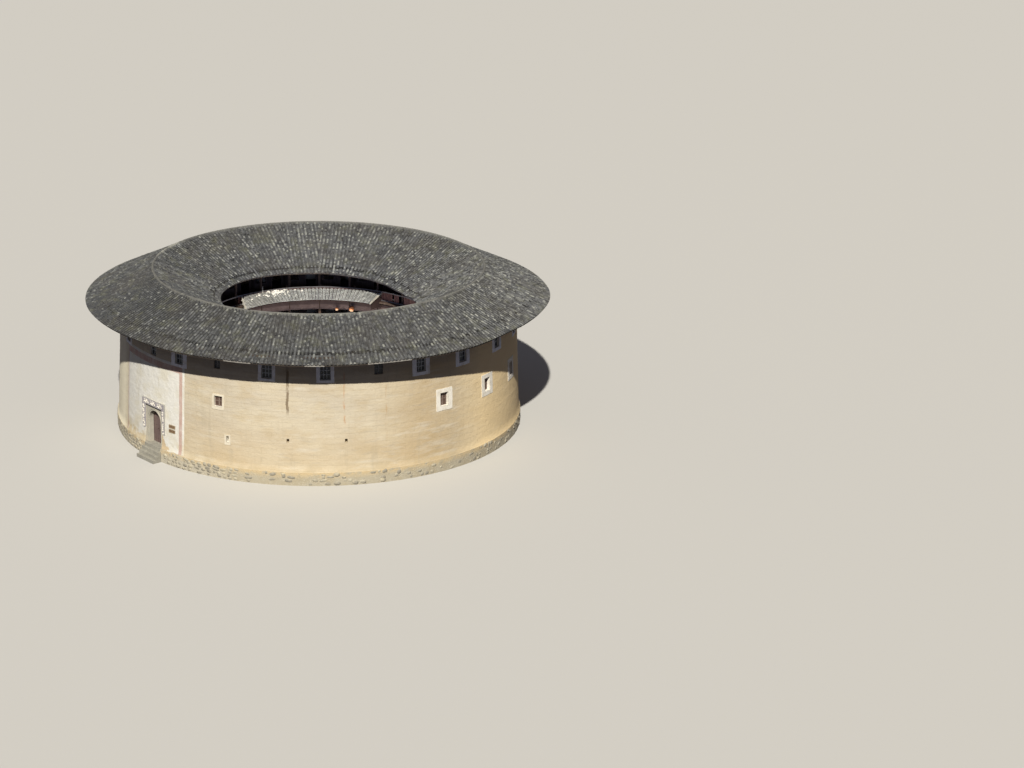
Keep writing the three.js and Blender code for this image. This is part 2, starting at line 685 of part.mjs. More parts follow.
// White render on the wall round the gate, and the bare name board beside it
const RENDER_DEPTH = 15;
const RENDER_FROM = -15;
const RENDER_TO = 13.1;
const RENDER_FOOT = 1500;
const RENDER_TOP = 8200;
const PLAQUE_ANGLE = 8.1;
const PLAQUE = { width: 700, foot: 2650, top: 3300, depth: 40 };

function buildRender() {
  const skin = ring([
    [wallRadius(RENDER_FOOT) + GAP, RENDER_FOOT],
    [wallRadius(RENDER_FOOT) + RENDER_DEPTH, RENDER_FOOT],
    [wallRadius(RENDER_TOP) + RENDER_DEPTH, RENDER_TOP],
    [wallRadius(RENDER_TOP) + GAP, RENDER_TOP],
  ], RENDER_FROM, -RENDER_FROM, WALL_STEP);
  const gate = block(
    -SURROUND_HALF - GAP, SURROUND_HALF + GAP, -SURROUND_FACE * 2, 0, 0, SURROUND_TOP + GAP,
  );
  const band = block(
    -BAND_HALF - GAP, BAND_HALF + GAP, -SURROUND_FACE * 2, 0, BAND_FOOT - GAP, BAND_TOP + GAP,
  );
  const spare = radialBlock(
    RENDER_TO + FIRST_POST, WALL_INNER_RADIUS, SURROUND_FACE * 1.2,
    2 * WALL_FOOT_RADIUS * Math.sin(THREE.MathUtils.degToRad(FIRST_POST)), 0, RENDER_TOP + 100,
  );
  place('gate_render', cutAll(skin, [gate, band, spare]), 'plaster');

  const board = radialBlock(
    PLAQUE_ANGLE, WALL_INNER_RADIUS, wallRadius(PLAQUE.foot) + RENDER_DEPTH + PLAQUE.depth,
    PLAQUE.width, PLAQUE.foot, PLAQUE.top,
  );
  const behind = ring([
    [WALL_INNER_RADIUS - 500, PLAQUE.foot - 100],
    [wallRadius(PLAQUE.foot - 100) + RENDER_DEPTH + GAP, PLAQUE.foot - 100],
    [wallRadius(PLAQUE.top + 100) + RENDER_DEPTH + GAP, PLAQUE.top + 100],
    [WALL_INNER_RADIUS - 500, PLAQUE.top + 100],
  ], 0, WALL_STEP * 4, WALL_STEP);
  place('name_board', board.subtract(behind), 'timber');
}

buildFooting();
buildWall();
buildInterior();
buildSkirtRoof();
buildRoof();
buildOuterEave();
buildGateStone();
buildGateTimber();
buildRender();

export default group;
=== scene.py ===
import math
import random

import bmesh
import bpy
from mathutils import Matrix, Vector, noise


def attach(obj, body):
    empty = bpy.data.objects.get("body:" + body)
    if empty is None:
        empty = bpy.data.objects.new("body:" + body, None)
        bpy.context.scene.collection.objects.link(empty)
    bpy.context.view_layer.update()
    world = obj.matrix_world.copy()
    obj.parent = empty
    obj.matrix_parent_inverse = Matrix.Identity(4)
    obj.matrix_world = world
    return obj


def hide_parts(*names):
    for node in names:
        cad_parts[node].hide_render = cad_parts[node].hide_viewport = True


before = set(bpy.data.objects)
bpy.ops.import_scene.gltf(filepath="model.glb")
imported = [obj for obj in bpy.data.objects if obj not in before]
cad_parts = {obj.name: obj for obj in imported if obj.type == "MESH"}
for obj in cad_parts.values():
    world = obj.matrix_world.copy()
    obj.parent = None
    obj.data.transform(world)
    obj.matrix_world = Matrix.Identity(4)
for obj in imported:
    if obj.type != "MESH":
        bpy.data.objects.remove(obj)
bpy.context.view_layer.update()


# Camera, floor and light
# The camera stands where the picture was taken, high up across the valley, with its long lens.
# The floor is plain and pale, and one soft sun lights the house from the right of the gate.
PHOTO_WIDTH = 1024
FOCAL_LENGTH_IN_PIXELS = 2400
SENSOR_WIDTH = 36.0
CAMERA_PLACE = Vector((148.81, -114.18, 65.37))
CAMERA_TARGET = Vector((15.54, 7.16, 5.24))
CAMERA_ROLL = math.radians(1.16)
SUN_BEARING, SUN_HEIGHT = 46.0, math.radians(41.0)
SKY_COLOUR, SKY_STRENGTH = (0.69, 0.68, 0.82), 0.128
FLOOR_HALF = 800.0


def turned(angle):
    """Turns a piece made in front of the gate to its angle round the ring, counted from the gate."""
    return Matrix.Rotation(math.radians(angle), 4, "Z")


def on_ring(angle, radius, height):
    turn = math.radians(angle)
    return Vector((radius * math.sin(turn), -radius * math.cos(turn), height))


def paint(red, green, blue):
    """A colour given from 0 to 255, as the shaders want it."""
    values = [channel / 255 for channel in (red, green, blue)]
    straight = [v / 12.92 if v <= 0.04045 else ((v + 0.055) / 1.055) ** 2.4 for v in values]
    return (*straight, 1.0)


def placed(name, data):
    """An object in the scene that holds a mesh, a light or the camera."""
    thing = bpy.data.objects.new(name, data)
    bpy.context.scene.collection.objects.link(thing)
    return thing


def light(name, kind, energy, colour):
    lamp = placed(name, bpy.data.lights.new(name, kind))
    lamp.data.energy = energy
    lamp.data.color = colour
    return lamp


camera = placed("camera", bpy.data.cameras.new("camera"))
camera.data.sensor_width = SENSOR_WIDTH
camera.data.lens = FOCAL_LENGTH_IN_PIXELS * SENSOR_WIDTH / PHOTO_WIDTH
camera.data.clip_end = 3000
look = (CAMERA_TARGET - CAMERA_PLACE).to_track_quat("-Z", "Y").to_matrix().to_4x4()
camera.matrix_world = Matrix.Translation(CAMERA_PLACE) @ look @ Matrix.Rotation(CAMERA_ROLL, 4, "Z")
bpy.context.scene.camera = camera
bpy.context.scene.view_settings.view_transform = "Standard"

sun = light("sun", "SUN", energy=5.2, colour=(1.0, 0.965, 0.90))
sun.data.angle = math.radians(0.9)
towards_sun = on_ring(SUN_BEARING, math.cos(SUN_HEIGHT), math.sin(SUN_HEIGHT))
sun.rotation_euler = towards_sun.to_track_quat("Z", "Y").to_euler()

# A wide soft light low in the yard stands in for what the sunlit paving throws up,
# and a weak blue one under the open roof for the light that the galleries get from the air
bounce = light("bounce", "AREA", energy=1700.0, colour=(1.0, 0.92, 0.84))
bounce.data.shape = "DISK"
bounce.data.size = 13.0
bounce.matrix_world = Matrix.Translation((0, 0, 0.6)) @ Matrix.Rotation(math.pi, 4, "X")
air = light("air", "POINT", energy=760.0, colour=(0.40, 0.54, 1.0))
air.data.shadow_soft_size = 1.5
air.location = (0, 0, 9.4)
bounce.visible_camera = air.visible_camera = False

sky = bpy.data.worlds.new("sky")
sky.use_nodes = True
sky.node_tree.nodes["Background"].inputs["Color"].default_value = (*SKY_COLOUR, 1.0)
sky.node_tree.nodes["Background"].inputs["Strength"].default_value = SKY_STRENGTH
bpy.context.scene.world = sky

floor_mesh = bpy.data.meshes.new("floor")
corners = [(FLOOR_HALF * x, FLOOR_HALF * y, 0) for x, y in ((-1, -1), (1, -1), (1, 1), (-1, 1))]
floor_mesh.from_pydata(corners, [], [range(4)])
floor_finish = bpy.data.materials.new("pale_floor")
floor_finish.use_nodes = True
floor_finish.node_tree.nodes["Principled BSDF"].inputs["Base Color"].default_value = paint(196, 194, 188)
floor_finish.node_tree.nodes["Principled BSDF"].inputs["Roughness"].default_value = 0.95
floor_mesh.materials.append(floor_finish)
floor = placed("floor", floor_mesh)
floor.visible_diffuse = False


# Stone footing
# River stones bedded in lime mortar, laid in rough courses round the foot of the wall.
# The solid ring takes the mortar's finish, and rounded stones stand a little proud of it.
FOOTING_RADIUS, FOOTING_TOP = 16.47, 1.05
COURSE_HEIGHTS = (0.16, 0.43, 0.69, 0.90)
STONE_LENGTH, STONE_DEPTH, STONE_HEIGHT = 0.50, 0.15, 0.31
BARE_FROM, BARE_TO = -50, 30
SMEARED, SMEARED_WHERE_BARE = 0.66, 0.14
GATE_STONE_HALF = 1.22
MIX_SHARE, MIX_FIRST, MIX_SECOND, MIX_COLOUR = 0, 6, 7, 2


def wire(tree, kind, inputs, **settings):
    """Adds a node, with each input set or linked, and gives the node's outputs."""
    made = tree.nodes.new(kind)
    for label, value in settings.items():
        setattr(made, label, value)
    for label, value in inputs.items():
        if isinstance(value, bpy.types.NodeSocket):
            tree.links.new(value, made.inputs[label])
        else:
            made.inputs[label].default_value = value
    return made.outputs


def mask_group(name, inputs):
    """An empty shader group, with its inputs and the socket that its mask goes to."""
    tree = bpy.data.node_groups.new(name, "ShaderNodeTree")
    for label, value in inputs.items():
        kind = "NodeSocketVector" if isinstance(value, tuple) else "NodeSocketFloat"
        tree.interface.new_socket(label, in_out="INPUT", socket_type=kind).default_value = value
    tree.interface.new_socket("Mask", in_out="OUTPUT", socket_type="NodeSocketFloat")
    return tree, tree.nodes.new("NodeGroupInput").outputs, tree.nodes.new("NodeGroupOutput").inputs["Mask"]


def patches_group():
    """Soft patches: noise on stretched coordinates, cut between a low and a high value."""
    tree, given, mask = mask_group("patches", {
        "Place": (0.0, 0.0, 0.0), "Stretch": (1.0, 1.0, 1.0), "Detail": 3.0, "Low": 0.4, "High": 0.6})
    spread = wire(tree, "ShaderNodeVectorMath", {0: given["Place"], 1: given["Stretch"]}, operation="MULTIPLY")
    cloud = wire(tree, "ShaderNodeTexNoise",
                 {"Vector": spread[0], "Scale": 1.0, "Detail": given["Detail"], "Roughness": 0.6})
    cut = wire(tree, "ShaderNodeMapRange",
               {"Value": cloud["Fac"], "From Min": given["Low"], "From Max": given["High"]})
    tree.links.new(cut["Result"], mask)
    return tree


def band_group():
    """A soft-edged band: one between two values of a coordinate, with edges as wide as Edge."""
    tree, given, mask = mask_group("band", {"Value": 0.0, "From": 0.0, "To": 1.0, "Edge": 0.05})
    rise, fall = [wire(tree, "ShaderNodeMath", {0: given[high], 1: given[low]}, operation="SUBTRACT")[0]
                  for high, low in (("Value", "From"), ("To", "Value"))]
    near = wire(tree, "ShaderNodeMath", {0: rise, 1: fall}, operation="MINIMUM")[0]
    share = wire(tree, "ShaderNodeMath", {0: near, 1: given["Edge"]}, operation="DIVIDE", use_clamp=True)[0]
    tree.links.new(share, mask)
    return tree


PATCHES, BAND = patches_group(), band_group()


class Finish:
    """One procedural material: a base colour, with coats, stains and relief laid over it."""

    def __init__(self, name, base, roughness=0.9, sheen=0.3):
        self.material = bpy.data.materials.new(name)
        self.material.use_nodes = True
        self.tree = self.material.node_tree
        self.shader = self.tree.nodes["Principled BSDF"].inputs
        self.shader["Roughness"].default_value = roughness
        self.shader["Specular IOR Level"].default_value = sheen
        self.place = self.node("ShaderNodeTexCoord", {})["Object"]
        self.colour = paint(*base)
        self.height = None

    def node(self, kind, inputs, **settings):
        return wire(self.tree, kind, inputs, **settings)

    def sum(self, operation, *values):
        return self.node("ShaderNodeMath", dict(enumerate(values)), operation=operation)[0]

    def both(self, first, second):
        return self.sum("MULTIPLY", first, second)

    def patches(self, stretch, low, high, detail=3.0):
        stretch = stretch if isinstance(stretch, tuple) else (stretch,) * 3
        return self.node("ShaderNodeGroup", {"Place": self.place, "Stretch": stretch, "Detail": detail,
                                             "Low": low, "High": high}, node_tree=PATCHES)["Mask"]

    def band(self, value, start, end, edge=0.05):
        return self.node("ShaderNodeGroup", {"Value": value, "From": start, "To": end, "Edge": edge},
                         node_tree=BAND)["Mask"]

    def axes(self):
        return self.node("ShaderNodeSeparateXYZ", {0: self.place})

    def bearing(self):
        """Angle round the ring from the gate, in degrees."""
        x, y, z = self.axes()
        return self.both(self.sum("ARCTAN2", x, self.both(y, -1.0)), 180 / math.pi)

    def own(self, label):
        """An attribute that the piece's points carry, such as each tile's tone."""
        return self.node("ShaderNodeAttribute", {}, attribute_name=label)["Fac"]

    def coat(self, mask, colour, strength=1.0):
        mask = mask if strength == 1.0 else self.both(mask, strength)
        self.colour = self.node("ShaderNodeMix", {MIX_SHARE: mask, MIX_FIRST: self.colour,
                                                  MIX_SECOND: paint(*colour)}, data_type="RGBA")[MIX_COLOUR]

    def coats(self, *rows):
        """Coats in soft patches, each with its stretch, low, high, colour, strength and any detail."""
        for stretch, low, high, colour, strength, *detail in rows:
            self.coat(self.patches(stretch, low, high, *detail), colour, strength)
        return self

    def relief(self, mask, depth):
        raised = self.both(mask, depth)
        self.height = raised if self.height is None else self.sum("ADD", self.height, raised)

    def done(self, *reliefs):
        """The material, after relief in soft patches, each with its stretch, depth and any detail."""
        for stretch, depth, *detail in reliefs:
            self.relief(self.patches(stretch, 0.3, 0.7, *detail), depth)
        self.tree.links.new(self.colour, self.shader["Base Color"])
        if self.height is not None:
            bump = self.node("ShaderNodeBump", {"Height": self.height, "Distance": 1.0, "Strength": 1.0})
            self.tree.links.new(bump["Normal"], self.shader["Normal"])
        return self.material


def laying_tree():
    """Geometry Nodes that lay copies of one piece on points, each turned, stretched and a little loose."""
    tree = bpy.data.node_groups.new("laid_pieces", "GeometryNodeTree")
    for label, kind in (("Points", "Geometry"), ("Piece", "Object"), ("Finish", "Material"),
                        ("Looseness", "Float"), ("Seed", "Int")):
        tree.interface.new_socket(label, in_out="INPUT", socket_type=f"NodeSocket{kind}")
    tree.interface.new_socket("Laid", in_out="OUTPUT", socket_type="NodeSocketGeometry")
    given = tree.nodes.new("NodeGroupInput").outputs
    result = tree.nodes.new("NodeGroupOutput").inputs["Laid"]
    piece = wire(tree, "GeometryNodeObjectInfo", {"Object": given["Piece"]})
    turn, stretch = [wire(tree, "GeometryNodeInputNamedAttribute", {"Name": label}, data_type="FLOAT_VECTOR")
                     for label in ("turn", "stretch")]
    least, most = [wire(tree, "ShaderNodeVectorMath", {0: (way, way, way), "Scale": given["Looseness"]},
                        operation="SCALE")[0] for way in (-1.0, 1.0)]
    sway = wire(tree, "FunctionNodeRandomValue", {"Min": least, "Max": most, "Seed": given["Seed"]},
                data_type="FLOAT_VECTOR")
    first, second = [wire(tree, "FunctionNodeEulerToRotation", {"Euler": angles})[0]
                     for angles in (turn["Attribute"], sway["Value"])]
    both = wire(tree, "FunctionNodeRotateRotation", {"Rotation": first, "Rotate By": second},
                rotation_space="LOCAL")
    laid = wire(tree, "GeometryNodeInstanceOnPoints",
                {"Points": given["Points"], "Instance": piece["Geometry"], "Rotation": both[0],
                 "Scale": stretch["Attribute"]})
    real = wire(tree, "GeometryNodeRealizeInstances", {"Geometry": laid["Instances"]})
    finished = wire(tree, "GeometryNodeSetMaterial", {"Geometry": real["Geometry"], "Material": given["Finish"]})
    tree.links.new(finished["Geometry"], result)
    return tree


LAYING = laying_tree()


def show(name, mesh, slot, *finishes, body="house", replaces=()):
    """Puts a finished mesh in the scene as a piece of the house."""
    piece = placed(name, mesh)
    for finish in finishes:
        mesh.materials.append(finish)
    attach(piece, body)
    if replaces:
        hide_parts(*replaces)


def written(work, mesh, smooth_below=180):
    """Writes a bmesh to its mesh, smooth where its faces meet at less than an angle."""
    if smooth_below:
        for face in work.faces:
            face.smooth = True
        for edge in work.edges:
            edge.smooth = edge.calc_face_angle(0) < math.radians(smooth_below)
    work.to_mesh(mesh)
    work.free()
    return mesh


class Stock:
    """Points and faces of a piece while it is made, each face marked with the finish it takes."""

    def __init__(self):
        self.points, self.faces, self.marks = [], [], []

    def add(self, points, faces, marks):
        start = len(self.points)
        self.points += points
        self.faces += [[start + corner for corner in face] for face in faces]
        self.marks += marks

    def box(self, place, low, high, mark=0):
        corners = [place @ Vector((x, y, z)) for z in (low[2], high[2])
                   for y in (low[1], high[1]) for x in (low[0], high[0])]
        sides = ((0, 2, 3, 1), (4, 5, 7, 6), (0, 1, 5, 4), (2, 6, 7, 3), (0, 4, 6, 2), (1, 3, 7, 5))
        self.add(corners, sides, [mark] * 6)

    def sweep(self, outlines, loop=False):
        """Skin over equal outlines that follow one another, capped at both ends or run into a loop."""
        count, total = len(outlines[0]), len(outlines)
        faces = []
        for row in range(total if loop else total - 1):
            near, far = row * count, (row + 1) % total * count
            faces += [(near + i, far + i, far + (i + 1) % count, near + (i + 1) % count) for i in range(count)]
        if not loop:
            faces += [range(count), range(total * count - 1, (total - 1) * count - 1, -1)]
        self.add([point for outline in outlines for point in outline], faces, [0] * len(faces))

    def ring(self, outline, start, step):
        """Sweeps an outline of (radius, height) once round the ring."""
        self.sweep([[on_ring(start + step * i, r, z) for r, z in outline] for i in range(round(360 / step))], True)

    def mesh(self, name, smooth_below=0):
        mesh = bpy.data.meshes.new(name)
        mesh.from_pydata(self.points, [], self.faces)
        mesh.polygons.foreach_set("material_index", self.marks)
        work = bmesh.new()
        work.from_mesh(mesh)
        bmesh.ops.delete(work, geom=[v for v in work.verts if not v.link_faces], context="VERTS")
        bmesh.ops.recalc_face_normals(work, faces=work.faces)
        return written(work, mesh, smooth_below)

    def show(self, name, slot, *finishes, smooth_below=0, body="house", replaces=()):
        show(name, self.mesh(name, smooth_below), slot, *finishes, body=body, replaces=replaces)


def lay(name, places, unit, finish, slot, body="house", looseness=0.0, seed=1, replaces=()):
    """Lays a small piece at every place, given as (point, turn, stretch, tone), in one joined mesh."""
    points, turns, stretches, tones = zip(*places)
    holder_mesh = bpy.data.meshes.new(name)
    holder_mesh.from_pydata(points, [], [])
    for label, vectors in (("turn", turns), ("stretch", stretches)):
        layer = holder_mesh.attributes.new(label, "FLOAT_VECTOR", "POINT")
        layer.data.foreach_set("vector", [value for vector in vectors for value in vector])
    holder_mesh.attributes.new("tone", "FLOAT", "POINT").data.foreach_set("value", tones)
    unit_piece, holder = placed("unit", unit), placed("holder", holder_mesh)
    modifier = holder.modifiers.new("laid", "NODES")
    modifier.node_group = LAYING
    sockets = {item.name: item.identifier for item in LAYING.interface.items_tree if item.in_out == "INPUT"}
    for label, value in (("Piece", unit_piece), ("Finish", finish), ("Looseness", looseness), ("Seed", seed)):
        modifier[sockets[label]] = value
    depsgraph = bpy.context.evaluated_depsgraph_get()
    mesh = bpy.data.meshes.new_from_object(
        holder.evaluated_get(depsgraph), preserve_all_data_layers=True, depsgraph=depsgraph)
    mesh.name = name
    for label in ("turn", "stretch"):
        if label in mesh.attributes:
            mesh.attributes.remove(mesh.attributes[label])
    holder.modifiers.remove(modifier)
    bpy.data.objects.remove(holder)
    bpy.data.objects.remove(unit_piece)
    show(name, mesh, slot, body=body, replaces=replaces)


def dress(finish, *nodes):
    """Gives solids of the frame a finish of their own."""
    for node in nodes:
        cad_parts[node].material_slots[0].material = finish


def around(angle):
    """An angle brought between -180 and 180."""
    return (angle + 180) % 360 - 180


def rounded_block(name, bevel):
    """A unit block with rounded edges, used for stones of any size."""
    work = bmesh.new()
    bmesh.ops.create_cube(work, size=1.0)
    bmesh.ops.bevel(work, geom=list(work.edges) + list(work.verts), offset=bevel, segments=1, affect="EDGES")
    return written(work, bpy.data.meshes.new(name))


def mortar_finish():
    mortar = Finish("lime_mortar", (184, 174, 150), roughness=0.95)
    x, y, z = mortar.axes()
    mortar.coats((1.2, 0.42, 0.62, (178, 164, 134), 0.6))
    mortar.coat(mortar.band(mortar.bearing(), BARE_FROM, BARE_TO, 12), (204, 197, 178), 0.5)
    mortar.coats((9, 0.52, 0.7, (216, 208, 188), 0.5, 5))
    mortar.coat(mortar.both(mortar.band(z, 0.55, 2.0, 0.4), mortar.patches((1.7, 1.7, 2.4), 0.36, 0.5)),
                (212, 188, 144), 0.8)
    return mortar.done((14, 0.02, 4))


def rubble_finish():
    stone = Finish("river_stone", (150, 143, 128), roughness=0.85)
    stone.coat(stone.own("tone"), (196, 187, 163))
    stone.coats((5, 0.45, 0.65, (138, 131, 114), 0.5, 5), (2.2, 0.5, 0.66, (196, 184, 154), 0.7))
    return stone.done((22, 0.012, 4))


dress(mortar_finish(), "stone_footing")
dice = random.Random(11)
stones = []
for course in COURSE_HEIGHTS:
    angle = dice.uniform(0, 1)
    while angle < 359.4:
        length = STONE_LENGTH * dice.uniform(0.55, 1.5)
        span = math.degrees(length / FOOTING_RADIUS)
        middle = around(angle + span / 2)
        facing_gate = abs(middle) < 90 and abs(on_ring(middle, FOOTING_RADIUS, 0).x) < GATE_STONE_HALF + length / 2
        smeared = dice.random() < (SMEARED_WHERE_BARE if BARE_FROM < middle < BARE_TO else SMEARED)
        if not facing_gate and not smeared:
            tall = STONE_HEIGHT * dice.uniform(0.6, 1.15)
            spot = on_ring(middle, FOOTING_RADIUS - 0.05, course + dice.uniform(-0.05, 0.05))
            spot.z = max(min(spot.z, FOOTING_TOP - tall / 2 + 0.02), tall / 2 + 0.03)
            turn = (0.0, dice.uniform(-0.25, 0.25), math.radians(middle))
            size = (length * dice.uniform(0.7, 0.92), STONE_DEPTH * dice.uniform(0.8, 1.15), tall)
            stones.append((spot, turn, size, dice.random()))
        angle += span
lay("footing_stones", stones, rounded_block("stone", 0.27), rubble_finish(), "rubble", looseness=0.05, seed=3)


# Rammed-earth wall
# Earth rammed in lifts between boards, 0.42 m high, battered outside and plumb inside.
# One skin shows the whole wall, uneven by a centimetre, with every window and the passage cut through.
WALL_INNER, WALL_FOOT, WALL_BATTER, MEAN_WALL_RADIUS = 15.0, 16.4, 0.043, 16.2
LIFT_HEIGHT, FORMS_ROUND_THE_WALL, WALL_STATION = 0.42, 64, 1.5
TOP_ROW, UNDER_THE_ROOF = 10.71, 11.4
PASSAGE_HALF, PASSAGE_TOP = 1.14, 4.24
FLARE_HEIGHT, FLARE_DEPTH = 1.6, 0.10
RIDGE_HEIGHT, OUTER_EAVE_HEIGHT, INNER_EAVE_HEIGHT = 12.9, 10.55, 10.15
ROOF_DEPTH, ROOF_GAP, ROOF_SWELL, SLOPE_HOLLOW = 0.22, 0.03, 0.045, 0.05
BAYS = 24
BAY = 360 / BAYS
BAY_TANGENT = math.tan(math.radians(BAY / 2))
HALF_BAY_COSINE = math.cos(math.radians(BAY / 2))
ROUNDED = (1 + HALF_BAY_COSINE) / 2
RIDGE_CIRCLE, OUTER_EAVE, INNER_EAVE = 13.4 * ROUNDED, 18.7 * ROUNDED, 8.1 * ROUNDED
# Bearings round the ring, each with how far the old roof has sunk or reaches out there
EAVE_DROOP = ((0, 0.0), (18, 0.09), (38, 0.14), (58, 0.12), (76, 0.09), (89, 0.03), (106, -0.26),
              (124, -0.30), (152, 0.0))
RIDGE_SAG = ((0, 0.15), (28, 0.25), (60, 0.25), (88, 0.13), (122, 0.0), (318, 0.0), (360, 0.15))
EAVE_REACH = ((130, 0.0), (142.5, 0.40), (158, 0.78), (172, 0.80), (188, 0.62), (202.5, 0.46),
              (232.5, 0.28), (285, 0.0))

# Width, height and sill of each kind of window, and the bearings where they are
TOP_WINDOW, PLAIN_WINDOW, LOOKOUT = (0.83, 1.10, 8.32), (0.71, 0.85, 8.57), (0.55, 0.70, 8.64)
MIDDLE_WINDOW, SMALL_WINDOW = (0.80, 1.10, 5.20), (0.71, 0.84, 5.66)
FRAMED_VENT, BARE_VENT = (0.22, 0.50, 2.95), (0.20, 0.33, 3.35)
SMALL_AT, FRAMED_VENT_AT, PLAIN_AT, LOOKOUT_AT, BARE_VENTS_AT = 23.9, 26.8, 68.5, 23.5, (43.8, 59.4)
HIDDEN_TOP_WINDOWS, HIDDEN_MIDDLE_WINDOWS = 15, 12
top_windows = [-0.6, 10.5, 38, 53.9, 81.1, 95.7, 112.3]
top_spacing = (360 + top_windows[0] - top_windows[-1]) / (HIDDEN_TOP_WINDOWS + 1)
top_windows += [top_windows[-1] + top_spacing * (k + 1) for k in range(HIDDEN_TOP_WINDOWS)]
middle_windows = [88.6, 106.4] + [122.8 + 16.2 * k for k in range(HIDDEN_MIDDLE_WINDOWS + 1)]
BARE, LIMED, ROUGH = 0, 1, 2

# Bearing, half width, foot, top, gaps, colour and strength of each old crack
CRACKS = ((43.7, 0.42, 5.5, 9.4, 0.34, (112, 94, 72), 0.8),
          (58.9, 0.34, 4.2, 9.0, 0.44, (186, 128, 78), 0.45),
          (70.5, 0.26, 3.2, 8.4, 0.48, (176, 138, 92), 0.35))


def wall_radius(height):
    return WALL_FOOT - WALL_BATTER * height


def wall_face(angle, height):
    """Radius of the uneven outer face: soft swells, fuller lifts, and a flare over the footing."""
    spot = on_ring(angle, 9.0, height * 1.3)
    swell = 0.014 * noise.noise(spot * 0.55) + 0.006 * noise.noise(spot * 1.9)
    full = 0.004 * math.cos(2 * math.pi * (height / LIFT_HEIGHT - 0.5))
    flare = FLARE_DEPTH * (max(FLARE_HEIGHT - height, 0) / (FLARE_HEIGHT - FOOTING_TOP)) ** 2
    return wall_radius(height) + swell + full + flare


def between(stops, bearing):
    """Smooth value round the ring from a list of (bearing, value)."""
    turn = bearing % 360
    for (start, low), (end, high) in zip(stops, stops[1:]):
        if start <= turn <= end:
            share = (turn - start) / (end - start)
            return low + (high - low) * share * share * (3 - 2 * share)
    return 0.0


def inner_eave(bearing):
    """Radius of the inner eave, which reaches further over the yard at the back."""
    return INNER_EAVE - between(EAVE_REACH, bearing)


def roof_height(radius, bearing):
    """Height of the tiled surface, with the slow sag and swell of an old roof."""
    outside = radius > RIDGE_CIRCLE
    eave_radius, eave_height = (OUTER_EAVE, OUTER_EAVE_HEIGHT) if outside else (INNER_EAVE, INNER_EAVE_HEIGHT)
    down = abs(radius - RIDGE_CIRCLE) / abs(eave_radius - RIDGE_CIRCLE)
    wave = ROOF_SWELL * noise.noise(on_ring(bearing, 2.4, 0)) * down
    wave -= SLOPE_HOLLOW * math.sin(math.pi * min(down, 1))
    wave -= between(RIDGE_SAG, bearing) * max(1 - down * (1 if outside else 4), 0)
    if outside:
        wave -= between(EAVE_DROOP, bearing) * down * down
    return RIDGE_HEIGHT - (RIDGE_HEIGHT - eave_height) * down + wave


def hole_of(angle, window):
    width, height, sill = window
    half = math.degrees(math.asin(width / 2 / MEAN_WALL_RADIUS))
    return around(angle) - half, around(angle) + half, sill, sill + height


def steps_with(start, end, step, edges):
    """Even steps between two values, moved onto the edges that have to be met."""
    count = round((end - start) / step)
    even = [start + (end - start) * i / count for i in range(count + 1)]
    return sorted({value for value in even if all(abs(value - edge) > step * 0.3 for edge in edges)} | edges)


def cut_skin(stock, stations, levels, outer, inner, holes, mark=0):
    """A curved wall between two faces, on a grid of angles and heights, with holes cut through it.

    outer and inner give a point for an angle and a height, and a hole is (from, to, foot, top, mark).
    """
    loop = abs(stations[-1] - stations[0] - 360) < 1e-6
    columns, rows = len(stations) - 1, len(levels) - 1
    ring_size = columns if loop else columns + 1

    def lining(column, row):
        """The mark for the edges of the gap at a cell: a hole's own, the wall's past its end, or none if solid."""
        if not 0 <= row < rows or not (loop or 0 <= column < columns):
            return mark
        angle = (stations[column % columns] + stations[column % columns + 1]) / 2
        height = (levels[row] + levels[row + 1]) / 2
        return next((kind for start, end, foot, top, kind in holes
                     if start < angle < end and foot < height < top), None)

    def corner(column, row, face):
        return (face * len(levels) + row) * ring_size + column % ring_size

    faces, marks = [], []
    for row in range(rows):
        for column in range(columns):
            if lining(column, row) is not None:
                continue
            cell = ((column, row), (column + 1, row), (column + 1, row + 1), (column, row + 1))
            faces += [[corner(*spot, face) for spot in cell] for face in (0, 1)]
            marks += [mark, mark]
            beside = ((column, row - 1), (column + 1, row), (column, row + 1), (column - 1, row))
            for here, after, neighbour in zip(cell, cell[1:] + cell[:1], beside):
                kind = lining(*neighbour)
                if kind is not None:
                    faces.append([corner(*here, 0), corner(*after, 0), corner(*after, 1), corner(*here, 1)])
                    marks.append(kind)
    stock.add([face(angle, height) for face in (outer, inner) for height in levels
               for angle in stations[:ring_size]], faces, marks)


